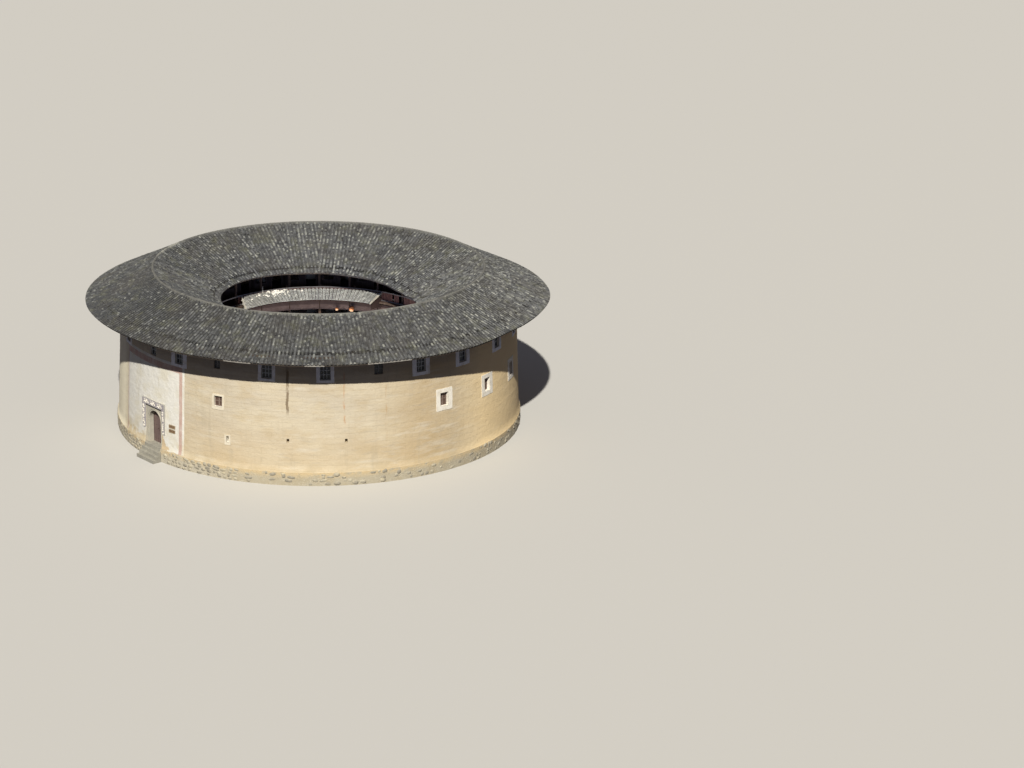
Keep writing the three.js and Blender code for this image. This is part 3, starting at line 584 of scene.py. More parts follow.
def earth_finish():
    """Pale rammed earth: lifts and form joints, patches, rain streaks, specks and three old cracks."""
    earth = Finish("rammed_earth", (195, 184, 163), roughness=0.97, sheen=0.15)
    x, y, z = earth.axes()
    bearing = earth.bearing()
    ripple = earth.node("ShaderNodeTexNoise", {"Vector": earth.place, "Scale": 0.8, "Detail": 3.0})["Fac"]
    laid = earth.node("ShaderNodeCombineXYZ", {0: earth.both(bearing, math.radians(1) * MEAN_WALL_RADIUS),
                                               1: earth.sum("ADD", z, earth.both(ripple, 0.22))})
    forms = earth.node("ShaderNodeTexBrick", {
        "Vector": laid[0], "Color1": (0, 0, 0, 1), "Color2": (1, 1, 1, 1), "Mortar": (0.5, 0.5, 0.5, 1),
        "Scale": 1.0, "Mortar Size": 0.014, "Mortar Smooth": 0.6, "Row Height": LIFT_HEIGHT,
        "Brick Width": 2 * math.pi * MEAN_WALL_RADIUS / FORMS_ROUND_THE_WALL})
    # Broad colour, warmer low down and at both flanks
    earth.coat(earth.band(z, -20.0, 5.5, 4.0), (206, 180, 134), 0.5)
    earth.coat(earth.band(bearing, 60, 175, 30), (212, 186, 140), 0.4)
    earth.coats(((0.22, 0.22, 0.5), 0.42, 0.62, (210, 198, 172), 0.6),
                ((0.5, 0.5, 1.1), 0.5, 0.66, (186, 166, 130), 0.4))
    earth.coat(forms["Color"], (194, 176, 144), 0.10)
    earth.coat(earth.band(bearing, 66, 100, 18), (186, 162, 122), 0.6)
    # Thin broken joints between the lifts, then grey rain streaks and specks
    earth.coat(earth.both(forms["Fac"], earth.patches((1.4, 1.4, 2.0), 0.45, 0.6)), (166, 146, 112), 0.34)
    earth.coats(((0.5, 0.5, 5.0), 0.52, 0.66, (188, 170, 136), 0.25, 4),
                ((1.6, 1.6, 0.16), 0.56, 0.72, (176, 164, 140), 0.4),
                ((0.7, 0.7, 3.6), 0.56, 0.72, (182, 172, 152), 0.4),
                ((0.35, 0.35, 2.4), 0.55, 0.7, (214, 206, 188), 0.4),
                (16, 0.62, 0.72, (150, 128, 94), 0.45, 2),
                ((9, 9, 22), 0.6, 0.75, (222, 208, 180), 0.4, 2))
    # Splashed at its foot, lighter left of the gate and on the right as painted light where the sun falls slantwise,
    # and darker under the eave as painted shade
    earth.coat(earth.both(earth.band(z, -5.0, 1.9, 0.9), earth.patches((1.1, 1.1, 1.6), 0.4, 0.6)),
               (182, 166, 134), 0.55)
    # Painted light: the left flank is made nearly white where the sun only grazes it
    earth.coat(earth.band(bearing, -75, -14, 6), (255, 246, 218), 0.85)
    # Painted shade: darker earth over the top rows, which lie in the eave's shadow
    earth.coat(earth.band(z, 8.5, 12.0, 0.4), (150, 138, 122), 0.42)
    # Painted light on the right flank, lighter where the sun falls slantwise; its warmer tint is the earth's own
    earth.coat(earth.band(bearing, 92, 170, 12), (248, 220, 168), 0.7)
    wander = earth.sum("ADD", bearing, earth.both(earth.patches((0.0, 0.0, 1.3), 0.0, 1.0, 3), 1.2))
    for middle, half, foot, top, gaps, colour, strength in CRACKS:
        spread = earth.band(wander, middle + 0.6 - half, middle + 0.6 + half, 0.12)
        worn = earth.patches((6, 6, 1.0), gaps, gaps + 0.12)
        earth.coat(earth.both(earth.both(spread, earth.band(z, foot, top, 0.5)), worn), colour, strength)
    earth.relief(forms["Fac"], -0.005)
    return earth.done(((2.0, 2.0, 3.0), 0.014, 4), ((18, 18, 30), 0.005, 3))


def lime_finish(name, base):
    lime = Finish(name, base)
    lime.coats((1.6, 0.48, 0.68, (196, 184, 158), 0.5), ((7, 7, 2.0), 0.56, 0.72, (176, 166, 146), 0.4, 4),
               (20, 0.62, 0.72, (150, 140, 120), 0.35, 3))
    return lime.done((12, 0.008, 5))


GREY_LIME, WHITE_LIME = lime_finish("grey_lime", (176, 170, 156)), lime_finish("white_lime", (236, 230, 216))
holes = [(*hole_of(angle, window), lining) for angles, window, lining in (
    (top_windows, TOP_WINDOW, LIMED), (middle_windows, MIDDLE_WINDOW, LIMED), ((SMALL_AT,), SMALL_WINDOW, LIMED),
    ((FRAMED_VENT_AT,), FRAMED_VENT, LIMED), ((PLAIN_AT,), PLAIN_WINDOW, BARE), ((LOOKOUT_AT,), LOOKOUT, BARE),
    (BARE_VENTS_AT, BARE_VENT, BARE)) for angle in angles]
levels = steps_with(FOOTING_TOP, TOP_ROW, LIFT_HEIGHT / 2, {PASSAGE_TOP, *[z for hole in holes for z in hole[2:4]]})
passage_edge = math.degrees(math.asin(PASSAGE_HALF / MEAN_WALL_RADIUS))
holes.append((-passage_edge, passage_edge, 0.0, PASSAGE_TOP, ROUGH))


def wall_point(angle, height, top_radius, radius_at):
    """A point of the wall, with its top row under the roof and the sides of the passage parallel."""
    if height >= levels[-1] - 1e-6:
        height = roof_height(top_radius, angle) - ROOF_DEPTH - ROOF_GAP
    radius = radius_at(angle, height)
    if abs(angle) > passage_edge + 1e-6 or height > PASSAGE_TOP + 1e-6:
        return on_ring(angle, radius, height)
    across = PASSAGE_HALF * angle / passage_edge
    return Vector((across, -math.sqrt(radius * radius - across * across), height))


wall = Stock()
cut_skin(wall, steps_with(-180, 180, WALL_STATION, {edge for hole in holes for edge in hole[:2]}), levels,
         lambda angle, height: wall_point(angle, height, wall_radius(UNDER_THE_ROOF), wall_face),
         lambda angle, height: wall_point(angle, height, WALL_INNER, lambda a, z: WALL_INNER), holes)
wall.show("earth_wall", "earth", earth_finish(), WHITE_LIME, GREY_LIME, smooth_below=40, replaces=[
    f"outer_wall_{part}" for part in (*range(1, 8), "gate_left", "gate_right", "over_gate")])


# Windows of the wall
# Most have a lime-plaster surround a metre and a third wide, which stands 3 cm proud of the earth.
# A painted timber frame with small panes, or a brown one with boarded lights, is set back in the hole.
SURROUND_PROUD, SURROUND_BEDDED = 0.028, 0.03
FRAME_BAR, GLAZING_BAR, FRAME_DEPTH = 0.055, 0.06, 0.07
TOP_SETBACK, LOWER_SETBACK, PLAIN_SETBACK = 0.18, 0.27, 0.12
# How far each kind of surround reaches beside, below and above its window
TOP_EDGES, MIDDLE_EDGES, SMALL_EDGES, VENT_EDGES = (
    (0.26, 0.19, 0.20), (0.39, 0.31, 0.33), (0.18, 0.22, 0.14), (0.14, 0.20, 0.10))
WIDE_EDGES = {10.5: (0.40, 0.20, 0.22), 81.1: (0.36, 0.26, 0.24), 95.7: (0.36, 0.26, 0.24),
              112.3: (0.36, 0.26, 0.24)}
UNFRAMED = -0.6
WHITE, CREAM = 0, 1
PANE = 1


def frame_paint_finish(name, base, worn):
    coat = Finish(name, base, roughness=0.6)
    coat.coats(((10, 10, 2.5), 0.5, 0.66, worn, 0.6, 4), (3, 0.55, 0.7, (60, 54, 46), 0.3))
    return coat.done(((40, 40, 6), 0.003, 3))


# The panes are opaque, and their near-black blue is the painted shade of the dark rooms behind the glass
def pane_finish():
    pane = Finish("pane_painted_dark_room", (16, 20, 30), roughness=0.35, sheen=0.25)
    return pane.coats((1.5, 0.45, 0.65, (34, 42, 58), 0.6), (8, 0.6, 0.75, (70, 76, 84), 0.3, 4)).done()


def plaster_surround(stock, angle, window, edges, mark=WHITE):
    """A flat band of plaster round a hole, following the curve of the wall, with a ragged edge."""
    start, end, foot, top = hole_of(angle, window)
    side, below, above = edges
    spread = math.degrees(side / MEAN_WALL_RADIUS)
    columns = steps_with(start - spread, end + spread, 0.7, {start, end})
    rows = steps_with(foot - below, top + above, 0.25, {foot, top})
    dice = random.Random(round(angle * 10))

    def rough(value, ends, size):
        return value + (dice.uniform(-size, size) if value in ends else 0)

    def outside(a, z):
        a = rough(a, (columns[0], columns[-1]), 0.05)
        return on_ring(a, wall_face(a, z) + SURROUND_PROUD, rough(z, (rows[0], rows[-1]), 0.012))

    def inside(a, z):
        return on_ring(a, wall_face(a, z) - SURROUND_BEDDED, z)

    cut_skin(stock, columns, rows, outside, inside, [(start, end, foot, top, mark)], mark)


def rim(stock, place, half, foot, top, bar, front, back, mark=0):
    """Four bars round an upright rectangle that is twice half wide."""
    for left, right, under, over in ((-half, half, foot, foot + bar), (-half, half, top - bar, top),
                                     (-half, bar - half, foot + bar, top - bar),
                                     (half - bar, half, foot + bar, top - bar)):
        stock.box(place, (left, front, under), (right, back, over), mark)


def window_frame(stock, angle, window, lights, setback):
    """A timber frame with its glazing bars and panes, set back in the hole, with as many lights each way."""
    place = turned(angle)
    width, height, foot = window
    half, top, face = width / 2, foot + height, setback - wall_radius(foot)
    back, open_half, low, high = face + FRAME_DEPTH, half - FRAME_BAR, foot + FRAME_BAR, top - FRAME_BAR
    rim(stock, place, half, foot, top, FRAME_BAR, face, back)
    thick, thin = GLAZING_BAR * (0.8 if lights == 2 else 0.5), GLAZING_BAR / 2
    for k in range(1, lights):
        x, z = 2 * open_half * k / lights - open_half, low + (high - low) * k / lights
        stock.box(place, (x - thick, face + 0.01, low), (x + thick, back - 0.01, high))
        stock.box(place, (-open_half, face + 0.015, z - thin), (open_half, back - 0.02, z + thin))
    stock.box(place, (-open_half, face + 0.030, low), (open_half, face + 0.038, high), PANE)


top_surrounds, lower_surrounds, top_frames, lower_frames, plain_frames = [Stock() for k in range(5)]
for angle in top_windows:
    if angle != UNFRAMED:
        plaster_surround(top_surrounds, angle, TOP_WINDOW, WIDE_EDGES.get(angle, TOP_EDGES))
    window_frame(top_frames, angle, TOP_WINDOW, 3, TOP_SETBACK)
for angle in middle_windows:
    plaster_surround(lower_surrounds, angle, MIDDLE_WINDOW, MIDDLE_EDGES)
    window_frame(lower_frames, angle, MIDDLE_WINDOW, 2, LOWER_SETBACK)
plaster_surround(lower_surrounds, SMALL_AT, SMALL_WINDOW, SMALL_EDGES, CREAM)
plaster_surround(lower_surrounds, FRAMED_VENT_AT, FRAMED_VENT, VENT_EDGES, CREAM)
window_frame(lower_frames, SMALL_AT, SMALL_WINDOW, 2, TOP_SETBACK)
window_frame(plain_frames, PLAIN_AT, PLAIN_WINDOW, 2, PLAIN_SETBACK)
window_frame(plain_frames, LOOKOUT_AT, LOOKOUT, 2, PLAIN_SETBACK)
glass = pane_finish()
# The top surrounds stay in the eave's shade, so they take a whiter lime than those below: painted light
top_surrounds.show("top_window_surrounds", "plaster", lime_finish("top_lime_painted_light", (250, 250, 250)), smooth_below=40)
lower_surrounds.show("lower_window_surrounds", "plaster", WHITE_LIME, lime_finish("cream_lime", (218, 208, 186)),
                     smooth_below=40)
top_frames.show("top_window_frames", "timber",
                frame_paint_finish("window_paint", (168, 174, 176), (138, 142, 140)), glass)
lower_frames.show("lower_window_frames", "timber",
                  frame_paint_finish("casement_brown", (120, 104, 94), (150, 136, 124)),
                  frame_paint_finish("brown_boarded_light", (82, 64, 56), (106, 88, 78)))
plain_frames.show("plain_window_frames", "timber",
                  frame_paint_finish("dark_window_paint", (104, 104, 108), (82, 80, 80)), glass)


# Roof tiles
# Thin grey clay tiles laid dry: troughs side by side, and a capping tile over each joint.
# They lie in parallel rows on every bay of both slopes, cut where two bays meet.
DARK_TILE, MEAN_TILE, LIGHT_TILE = (58, 59, 61), (96, 97, 98), (137, 138, 133)
COVER_WIDTH, COVER_RISE, COVER_LENGTH, COVER_THICKNESS = 0.185, 0.062, 0.30, 0.016
TROUGH_WIDTH, TROUGH_DROP, TROUGH_LENGTH, TROUGH_THICKNESS = 0.25, 0.045, 0.34, 0.012
COVER_STEP, COVER_TILT, COVER_BED = 0.165, 0.08, -0.018
TROUGH_STEP, TROUGH_TILT, TROUGH_BED = 0.30, 0.05, -0.035
SLIPPED, BRIGHT, ASKEW, GONE, GONE_TOO = 0.03, 0.03, 0.02, 0.012, 0.25
# Share of tiles gone, and of tiles in shadow, along the step in a slope
GONE_AT_STEP = {"outer": 0.3, "inner": 0.5, "shaded": 0.15}
DARK_AT_STEP = {"inner": 0.4, "shaded": 0.9}
OUTER_PITCH, INNER_PITCH = 0.287, 0.305
OVER_THE_EAVE, PAST_THE_SEAM, SHORT_OF_RIDGE = 0.03, 0.25, 0.04
STEP_FROM_OUTER_EAVE, STEP_FROM_INNER_EAVE, STEP_RISE = 1.1, 0.56, 0.04
SHADED_FROM, SHADED_TO = 236, 335
IN_SHADOW = -0.6
SECTORS, BAYS_IN_SECTOR = 6, 4


def tile_finish():
    tile = Finish("clay_tile", DARK_TILE)
    tone = tile.own("tone")
    tile.coat(tile.band(tone, 0.12, 9.0, 0.45), MEAN_TILE)
    tile.coat(tile.band(tone, 0.66, 9.0, 0.34), LIGHT_TILE)
    tile.coat(tile.band(tone, 0.965, 9.0, 0.02), (154, 154, 146), 0.6)
    tile.coat(tile.band(tile.bearing(), -70, 14, 26), (66, 68, 71), 0.34)
    tile.coat(tile.band(tone, -9.0, -0.3, 0.1), (26, 26, 28), 0.9)
    tile.coats((0.35, 0.45, 0.62, (70, 66, 62), 0.35), (1.1, 0.52, 0.68, (112, 112, 88), 0.30),
               (14, 0.5, 0.68, (128, 126, 110), 0.35, 4), (26, 0.58, 0.7, (40, 38, 36), 0.45, 3))
    return tile.done((30, 0.006, 4))


def capping_tile(open_end=False):
    """An arched tile that narrows up the slope. Its lower end looks down the slope, along +Y."""
    stock = Stock()
    outlines = []
    for y, width in ((-COVER_LENGTH / 2, COVER_WIDTH * 0.84), (COVER_LENGTH / 2, COVER_WIDTH)):
        outside, inside = [[(-(width / 2 - inset) * math.cos(a), y, (COVER_RISE - inset) * math.sin(a))
                            for a in [math.pi * i / 5 for i in range(6)]] for inset in (0, COVER_THICKNESS)]
        outlines.append(outside + inside[::-1] if open_end else outside)
    stock.sweep(outlines)
    return stock.mesh("capping_tile", smooth_below=50)


def trough_tile():
    stock = Stock()
    half, foot = TROUGH_WIDTH / 2, -TROUGH_DROP - TROUGH_THICKNESS
    section = ((-half, 0.0), (0.0, -TROUGH_DROP), (half, 0.0), (half, foot), (-half, foot))
    stock.sweep([[(x, y, z) for x, z in section] for y in (-TROUGH_LENGTH / 2, TROUGH_LENGTH / 2)])
    return stock.mesh("trough_tile")


def slope_place(bay, x, out, outer):
    """A place on the tiles: X across the row, Y down the slope and Z out of the tiles."""
    ahead, side = on_ring(BAY * bay, 1.0, 0.0), on_ring(BAY * bay + 90, 1.0, 0.0)
    radius = math.hypot(x, out)
    lean = ((RIDGE_HEIGHT - OUTER_EAVE_HEIGHT) / (OUTER_EAVE - RIDGE_CIRCLE) if outer
            else (INNER_EAVE_HEIGHT - RIDGE_HEIGHT) / (RIDGE_CIRCLE - INNER_EAVE))
    way = 1 if outer else -1
    down = ((ahead - Vector((0, 0, lean * out / radius))) * way).normalized()
    up = ((side - Vector((0, 0, lean * x / radius))) * -way).cross(down).normalized()
    flat = ahead * out + side * x
    bearing = math.degrees(math.atan2(flat.x, -flat.y))
    place = Matrix((down.cross(up), down, up)).transposed().to_4x4()
    place.translation = Vector((flat.x, flat.y, roof_height(radius, bearing)))
    return place


def tone_of(dice, streak, bearing, outer):
    """Most tiles are middling grey, some dark, a few bright, with neighbours in a row alike.

    The outer slope is darker at the gate, and the inner one lighter at the back and darker on the left.
    """
    def near(middle, width):
        return math.exp(-((bearing % 360 - middle) / width) ** 2)

    shift = 0.16 * near(232, 22) - 0.18 * near(300, 30)
    if outer:
        shift = -0.42 * math.exp(-((around(bearing) + 16) / 34) ** 2)
    value = 0.48 + shift + 0.40 * streak + dice.gauss(0, 0.28)
    if dice.random() < BRIGHT:
        value = dice.uniform(0.85, 1.0)
    return min(max(value, 0.0), 1.0)


def bay_tiles(bay, outer, dice):
    """Places for one bay's capping tiles, trough tiles and open eave tiles.

    Some tiles have slipped or gone, and each slope has a step where the rows were laid anew.
    """
    way, pitch = (1, OUTER_PITCH) if outer else (-1, INNER_PITCH)
    lean = math.atan2(RIDGE_HEIGHT - OUTER_EAVE_HEIGHT, OUTER_EAVE - RIDGE_CIRCLE)
    rows = math.ceil((OUTER_EAVE if outer else RIDGE_CIRCLE) * BAY_TANGENT / pitch) + 1
    covers, troughs, ends = [], [], []

    def put(group, x, out, lift, sway, tilt, size, tone):
        place = slope_place(bay, x, out, outer)
        turn = (place.to_3x3() @ Matrix.Rotation(sway, 3, "Z") @ Matrix.Rotation(tilt, 3, "X")).to_euler()
        group.append((place @ Vector((0, 0, lift)), turn, size, tone))

    for row in range(-rows, rows + 1):
        streak = dice.uniform(-0.28, 0.28)
        for group, x, spacing, tilt in ((troughs, row * pitch, TROUGH_STEP, TROUGH_TILT),
                                       (covers, (row + 0.5) * pitch, COVER_STEP, COVER_TILT)):
            bearing = BAY * bay + math.degrees(math.atan2(x, OUTER_EAVE if outer else INNER_EAVE))
            shaded = SHADED_FROM < bearing % 360 < SHADED_TO
            part = "outer" if outer else "shaded" if shaded else "inner"
            eave_circle = OUTER_EAVE if outer else inner_eave(bearing)
            step_radius = eave_circle - STEP_FROM_OUTER_EAVE if outer else eave_circle + STEP_FROM_INNER_EAVE
            out = math.sqrt(max(eave_circle ** 2 - x * x, 0)) - way * (spacing / 2 - OVER_THE_EAVE)
            ridge = math.sqrt(RIDGE_CIRCLE ** 2 - x * x)
            seam = abs(x) / BAY_TANGENT - PAST_THE_SEAM
            step = spacing * math.cos(lean)
            first, missing = True, False
            while (out - ridge) * way > SHORT_OF_RIDGE:
                if out > seam:
                    past_step = math.hypot(x, out) - step_radius
                    near_step = abs(past_step) < step / 2
                    lift = STEP_RISE if past_step * way < 0 else 0.0
                    missing = dice.random() < (GONE_TOO if missing else GONE) and not first
                    if near_step and group is covers:
                        missing = dice.random() < GONE_AT_STEP[part]
                    slip = dice.uniform(0.04, 0.10) if dice.random() < SLIPPED else dice.uniform(-0.008, 0.008)
                    sway = dice.gauss(0, 0.02) + (dice.uniform(-0.2, 0.2) if dice.random() < ASKEW else 0)
                    tone = tone_of(dice, streak, bearing, outer)
                    if group is troughs:
                        put(troughs, x, out, lift + TROUGH_BED, sway, tilt, (1, 1, 1),
                            IN_SHADOW if near_step else tone * 0.45)
                    elif first:
                        put(ends, x, out, lift + COVER_BED, sway, tilt, (1, 1, 1), tone)
                    elif not missing:
                        if near_step and not outer and dice.random() < DARK_AT_STEP[part]:
                            tone = IN_SHADOW
                        size = (dice.uniform(0.9, 1.1), 1.0, dice.uniform(0.85, 1.15))
                        put(covers, x, out + slip * way, lift + COVER_BED + dice.uniform(-0.006, 0.008), sway,
                            tilt + dice.gauss(0, 0.012), size, tone)
                    first = False
                out -= way * step
    return covers, troughs, ends


TILE = tile_finish()
for sector in range(SECTORS):
    for outer, side in ((True, "outer"), (False, "inner")):
        dice = random.Random(100 + sector * 2 + outer)
        first_bay = sector * BAYS_IN_SECTOR + 1
        by_bay = [bay_tiles(bay, outer, dice) for bay in range(first_bay, first_bay + BAYS_IN_SECTOR)]
        covers, troughs, ends = [sum(groups, []) for groups in zip(*by_bay)]
        end = f"{side}_{sector + 1}"
        lay(f"tiles_{end}", covers, capping_tile(), TILE, "tile", replaces=[f"roof_{side}_slope_{sector + 1}"])
        lay(f"troughs_{end}", troughs, trough_tile(), TILE, "tile")
        lay(f"eave_tiles_{end}", ends, capping_tile(open_end=True), TILE, "tile")


# Boards, rafters and eave boards under the tiles
# Sawn boards carry the tiles, flat rafters carry the boards, and a thin board closes each eave.
# The boards follow the round eave, and the rafters of one bay lie side by side as its tile rows do.
BOARD_TOP, BOARD_FOOT, RAFTER_FOOT = -0.10, -0.13, -0.215
RAFTER_HALF, RAFTER_SPACING = 0.055, 0.45
EAVE_BOARD_TOP, EAVE_BOARD_FOOT = -0.05, -0.19
YARD_BOARDS_START = 9.19
ROOF_STATION = 3.0
MENDED_EAVE = ((30, 36.5), (49, 53.5), (63.5, 74))
YARD_EAVE_BOARD = (133, 226)


def timber_finish(name, base, pale, dark, grain=(14, 14, 1.2)):
    """Old unpainted wood: grain, bleached and darkened patches, and fine checks."""
    wood = Finish(name, base, roughness=0.8)
    wood.coats((1.1, 0.42, 0.64, pale, 0.6), (grain, 0.46, 0.62, dark, 0.6, 5),
               (tuple(size * 3 for size in grain), 0.58, 0.7, pale, 0.35, 3))
    return wood.done((grain, 0.006, 5))


def roof_sheet(stock, inner, outer, top, foot, over_yard=False, start=0, end=360):
    """A thin sheet between two radii that follows the tiled surface at a depth below it.

    Over the yard its radii are moved in with the inner eave.
    """
    whole = end - start == 360
    count = round((end - start) / ROOF_STATION)
    outlines = []
    for k in range(count if whole else count + 1):
        bearing = start + (end - start) * k / count
        reach = INNER_EAVE - inner_eave(bearing) if over_yard else 0
        outlines.append([on_ring(bearing, r, roof_height(r, bearing) + drop) for r, drop in (
            (inner - reach, top), (inner - reach, foot), (outer - reach, foot), (outer - reach, top))])
    stock.sweep(outlines, loop=whole)


EAVE_WOOD = timber_finish("eave_boards", (66, 57, 49), (96, 85, 72), (40, 34, 30), grain=(3, 3, 3))
NEW_WOOD = timber_finish("mended_eave", (148, 144, 136), (172, 168, 160), (108, 102, 94), grain=(3, 3, 3))
boards, mended, yard_edge, rafters = [Stock() for k in range(4)]
for start, end in ((RIDGE_CIRCLE + 0.01, OUTER_EAVE - 0.03), (RIDGE_CIRCLE - 0.01, YARD_BOARDS_START)):
    for board in range(4):
        near, far = sorted(start + (end - start) * k / 4 for k in (board, board + 1))
        roof_sheet(boards, near, far, BOARD_TOP, BOARD_FOOT)
roof_sheet(boards, INNER_EAVE + 0.04, YARD_BOARDS_START, BOARD_TOP, BOARD_FOOT, over_yard=True)
roof_sheet(boards, OUTER_EAVE - 0.06, OUTER_EAVE - 0.035, EAVE_BOARD_TOP, EAVE_BOARD_FOOT)
roof_sheet(boards, INNER_EAVE + 0.035, INNER_EAVE + 0.06, EAVE_BOARD_TOP, EAVE_BOARD_FOOT, over_yard=True)
boards.show("roof_boards", "timber", EAVE_WOOD, smooth_below=20)

# Pale boards mend the eave in three places in front, and one long pale board closes it over the yard
for start, end in MENDED_EAVE:
    roof_sheet(mended, OUTER_EAVE - 0.01, OUTER_EAVE + 0.012, -0.07, -0.155, start=start, end=end)
start, end = YARD_EAVE_BOARD
roof_sheet(yard_edge, INNER_EAVE + 0.005, INNER_EAVE + 0.03, -0.10, -0.19, over_yard=True, start=start, end=end)
mended.show("mended_eave", "timber", NEW_WOOD)
yard_edge.show("yard_eave_board", "timber", timber_finish(
    "yard_eave_board", (54, 50, 49), (68, 63, 61), (40, 36, 35), grain=(3, 3, 3)))

for bay in range(BAYS):
    for outer in (True, False):
        count = int((OUTER_EAVE if outer else RIDGE_CIRCLE) * BAY_TANGENT / RAFTER_SPACING)
        for x in [k * RAFTER_SPACING for k in range(-count, count + 1)]:
            seam = abs(x) / BAY_TANGENT + 0.1
            bearing = BAY * bay + math.degrees(math.atan2(x, INNER_EAVE))
            eave_circle = OUTER_EAVE - 0.08 if outer else inner_eave(bearing) + 0.08
            eave = math.sqrt(max(eave_circle ** 2 - x * x, 0))
            ridge = math.sqrt(RIDGE_CIRCLE ** 2 - x * x) + (0.05 if outer else -0.05)
            near, far = (max(seam, ridge), eave) if outer else (max(seam, eave), ridge)
            if far - near >= 0.3:
                rafters.sweep([[slope_place(bay, x, out, outer) @ Vector((side, 0, drop)) for side, drop in (
                    (-RAFTER_HALF, BOARD_FOOT), (-RAFTER_HALF, RAFTER_FOOT), (RAFTER_HALF, RAFTER_FOOT),
                    (RAFTER_HALF, BOARD_FOOT))] for out in (near, (near + far) / 2, far)])
rafters.show("rafters", "timber", EAVE_WOOD)
dress(EAVE_WOOD, "outer_eave_frame", "inner_eave_frame")


# Ridge
# A bed of lime mortar closes the ridge, and a row of half-round tiles is set in it.
# The mortar has weathered grey, and only to the left of the gate it still shows white.
RIDGE_TILE_LENGTH, RIDGE_TILE_STEP = 0.32, 0.25
RIDGE_SECTION = ((-0.12, -0.09), (0.12, -0.09), (0.10, 0.03), (0.04, 0.05), (-0.04, 0.05), (-0.10, 0.03))


def ridge_finish():
    bed = Finish("ridge_mortar", (110, 109, 104), roughness=0.95)
    bed.coats((0.7, 0.45, 0.6, (98, 97, 92), 0.8))
    bed.coat(bed.own("tone"), (122, 121, 114), 0.5)
    bed.coats((3, 0.58, 0.70, (152, 150, 140), 0.6))
    bed.coat(bed.both(bed.band(bed.bearing(), -70, -46, 6), bed.patches(0.8, 0.38, 0.5)), (178, 176, 164), 0.7)
    bed.coats((18, 0.55, 0.7, (74, 72, 68), 0.5, 4))
    return bed.done((16, 0.01, 4))


def bearings_at(radius, step):
    """Bearings of pieces that stand one step apart, all round the ring."""
    count = round(2 * math.pi * radius / step)
    return [360 * k / count for k in range(count)]


RIDGE_FINISH = ridge_finish()
ridge_bed = Stock()
ridge_bed.sweep([[on_ring(bearing, RIDGE_CIRCLE + side, roof_height(RIDGE_CIRCLE, bearing) + rise)
                  for side, rise in RIDGE_SECTION] for bearing in range(0, 360, 2)], loop=True)
ridge_bed.show("ridge_bed", "capping", RIDGE_FINISH, smooth_below=50, replaces=["ridge_cap"])

dice = random.Random(21)
ridge_tiles = []
for bearing in bearings_at(RIDGE_CIRCLE, RIDGE_TILE_STEP):
    if dice.random() >= 0.03:
        turn = (0.05, dice.gauss(0, 0.03), math.radians(bearing - 90) + dice.gauss(0, 0.03))
        spot = on_ring(bearing, RIDGE_CIRCLE + dice.uniform(-0.012, 0.012),
                       roof_height(RIDGE_CIRCLE, bearing) + 0.045)
        ridge_tiles.append((spot, turn, (0.9, RIDGE_TILE_LENGTH / COVER_LENGTH, 1.0), dice.random()))
lay("ridge_tiles", ridge_tiles, capping_tile(), RIDGE_FINISH, "capping")


# Timber galleries and room fronts
# Unpainted fir, nearly black with age and smoke, darker still as painted shade: floors, beams, posts and boarded room
# fronts.
# The room fronts take a finish of upright boards, and frames and bars close off their holes.
BALUSTRADE_RADIUS, BALUSTRADE_HEIGHT, BALUSTER_STEP = 9.59, 0.90, 0.185
RAIL_HALF, RAIL_HEIGHT = 0.04, 0.09
LOST_BOARDS = ((184.8, 188.2), (191.1, 193.1), (206, 208), (96, 98), (278, 345))
ROOM_FRONT_FACE = 11.50 * HALF_BAY_COSINE - 0.05
# Left, right, foot and top of each hole over its floor
ROOM_DOOR, ROOM_WINDOW, HALL_OPENING = (-1.20, -0.30, 0.0, 2.0), (0.25, 1.15, 1.0, 1.9), (-1.10, 1.10, 0.0, 2.75)
STOREYS = {"ground": 1.05, "second": 4.30, "third": 7.35}
GALLERY_BOARD = ((9.82, 6.22), (9.849, 6.22), (9.849, 6.98), (9.82, 6.98))
GALLERY_MOULDING = ((9.78, 6.19), (9.849, 6.19), (9.849, 6.27), (9.81, 6.27))
STUB_PLACES, WHITE_POLE, SMALL_FRAME_AT = (214.4, 231.7, 249.2), 262.9, 192.1


def boarded_finish(name, base, pale, dark, boards_round):
    """Upright boards round the ring, with a dark joint between each two."""
    wood = Finish(name, base, roughness=0.85)
    turn = wood.both(wood.bearing(), boards_round / 360)
    across = wood.sum("FRACT", turn)
    of_each = wood.both(wood.sum("SINE", wood.both(wood.sum("FLOOR", turn), 7.13)), 31.7)
    wood.coat(wood.sum("FRACT", of_each), pale, 0.5)
    wood.coats(((0.9, 0.9, 0.6), 0.42, 0.62, dark, 0.5), ((16, 16, 1.0), 0.48, 0.64, dark, 0.5, 5))
    wood.coat(wood.sum("SUBTRACT", 1.0, wood.band(across, 0.0, 1.0, 0.06)), (24, 19, 16), 0.9)
    wood.relief(wood.band(across, 0.0, 1.0, 0.08), 0.008)
    return wood.done()


def fascia_finish():
    """The board under the top gallery, darker at its top: painted shade cast by the skirt roof."""
    wood = Finish("fascia_wood", (108, 92, 86), roughness=0.8)
    wood.coats(((1.4, 1.4, 2.0), 0.42, 0.64, (132, 113, 105), 0.6), ((4, 4, 14), 0.46, 0.62, (84, 66, 60), 0.5, 5))
    # Painted shade: the upper part of the board is darkened
    wood.coat(wood.band(wood.axes()[2], 6.54, 9.0, 0.14), (60, 45, 42), 0.7)
    return wood.done(((3, 3, 14), 0.006, 5))


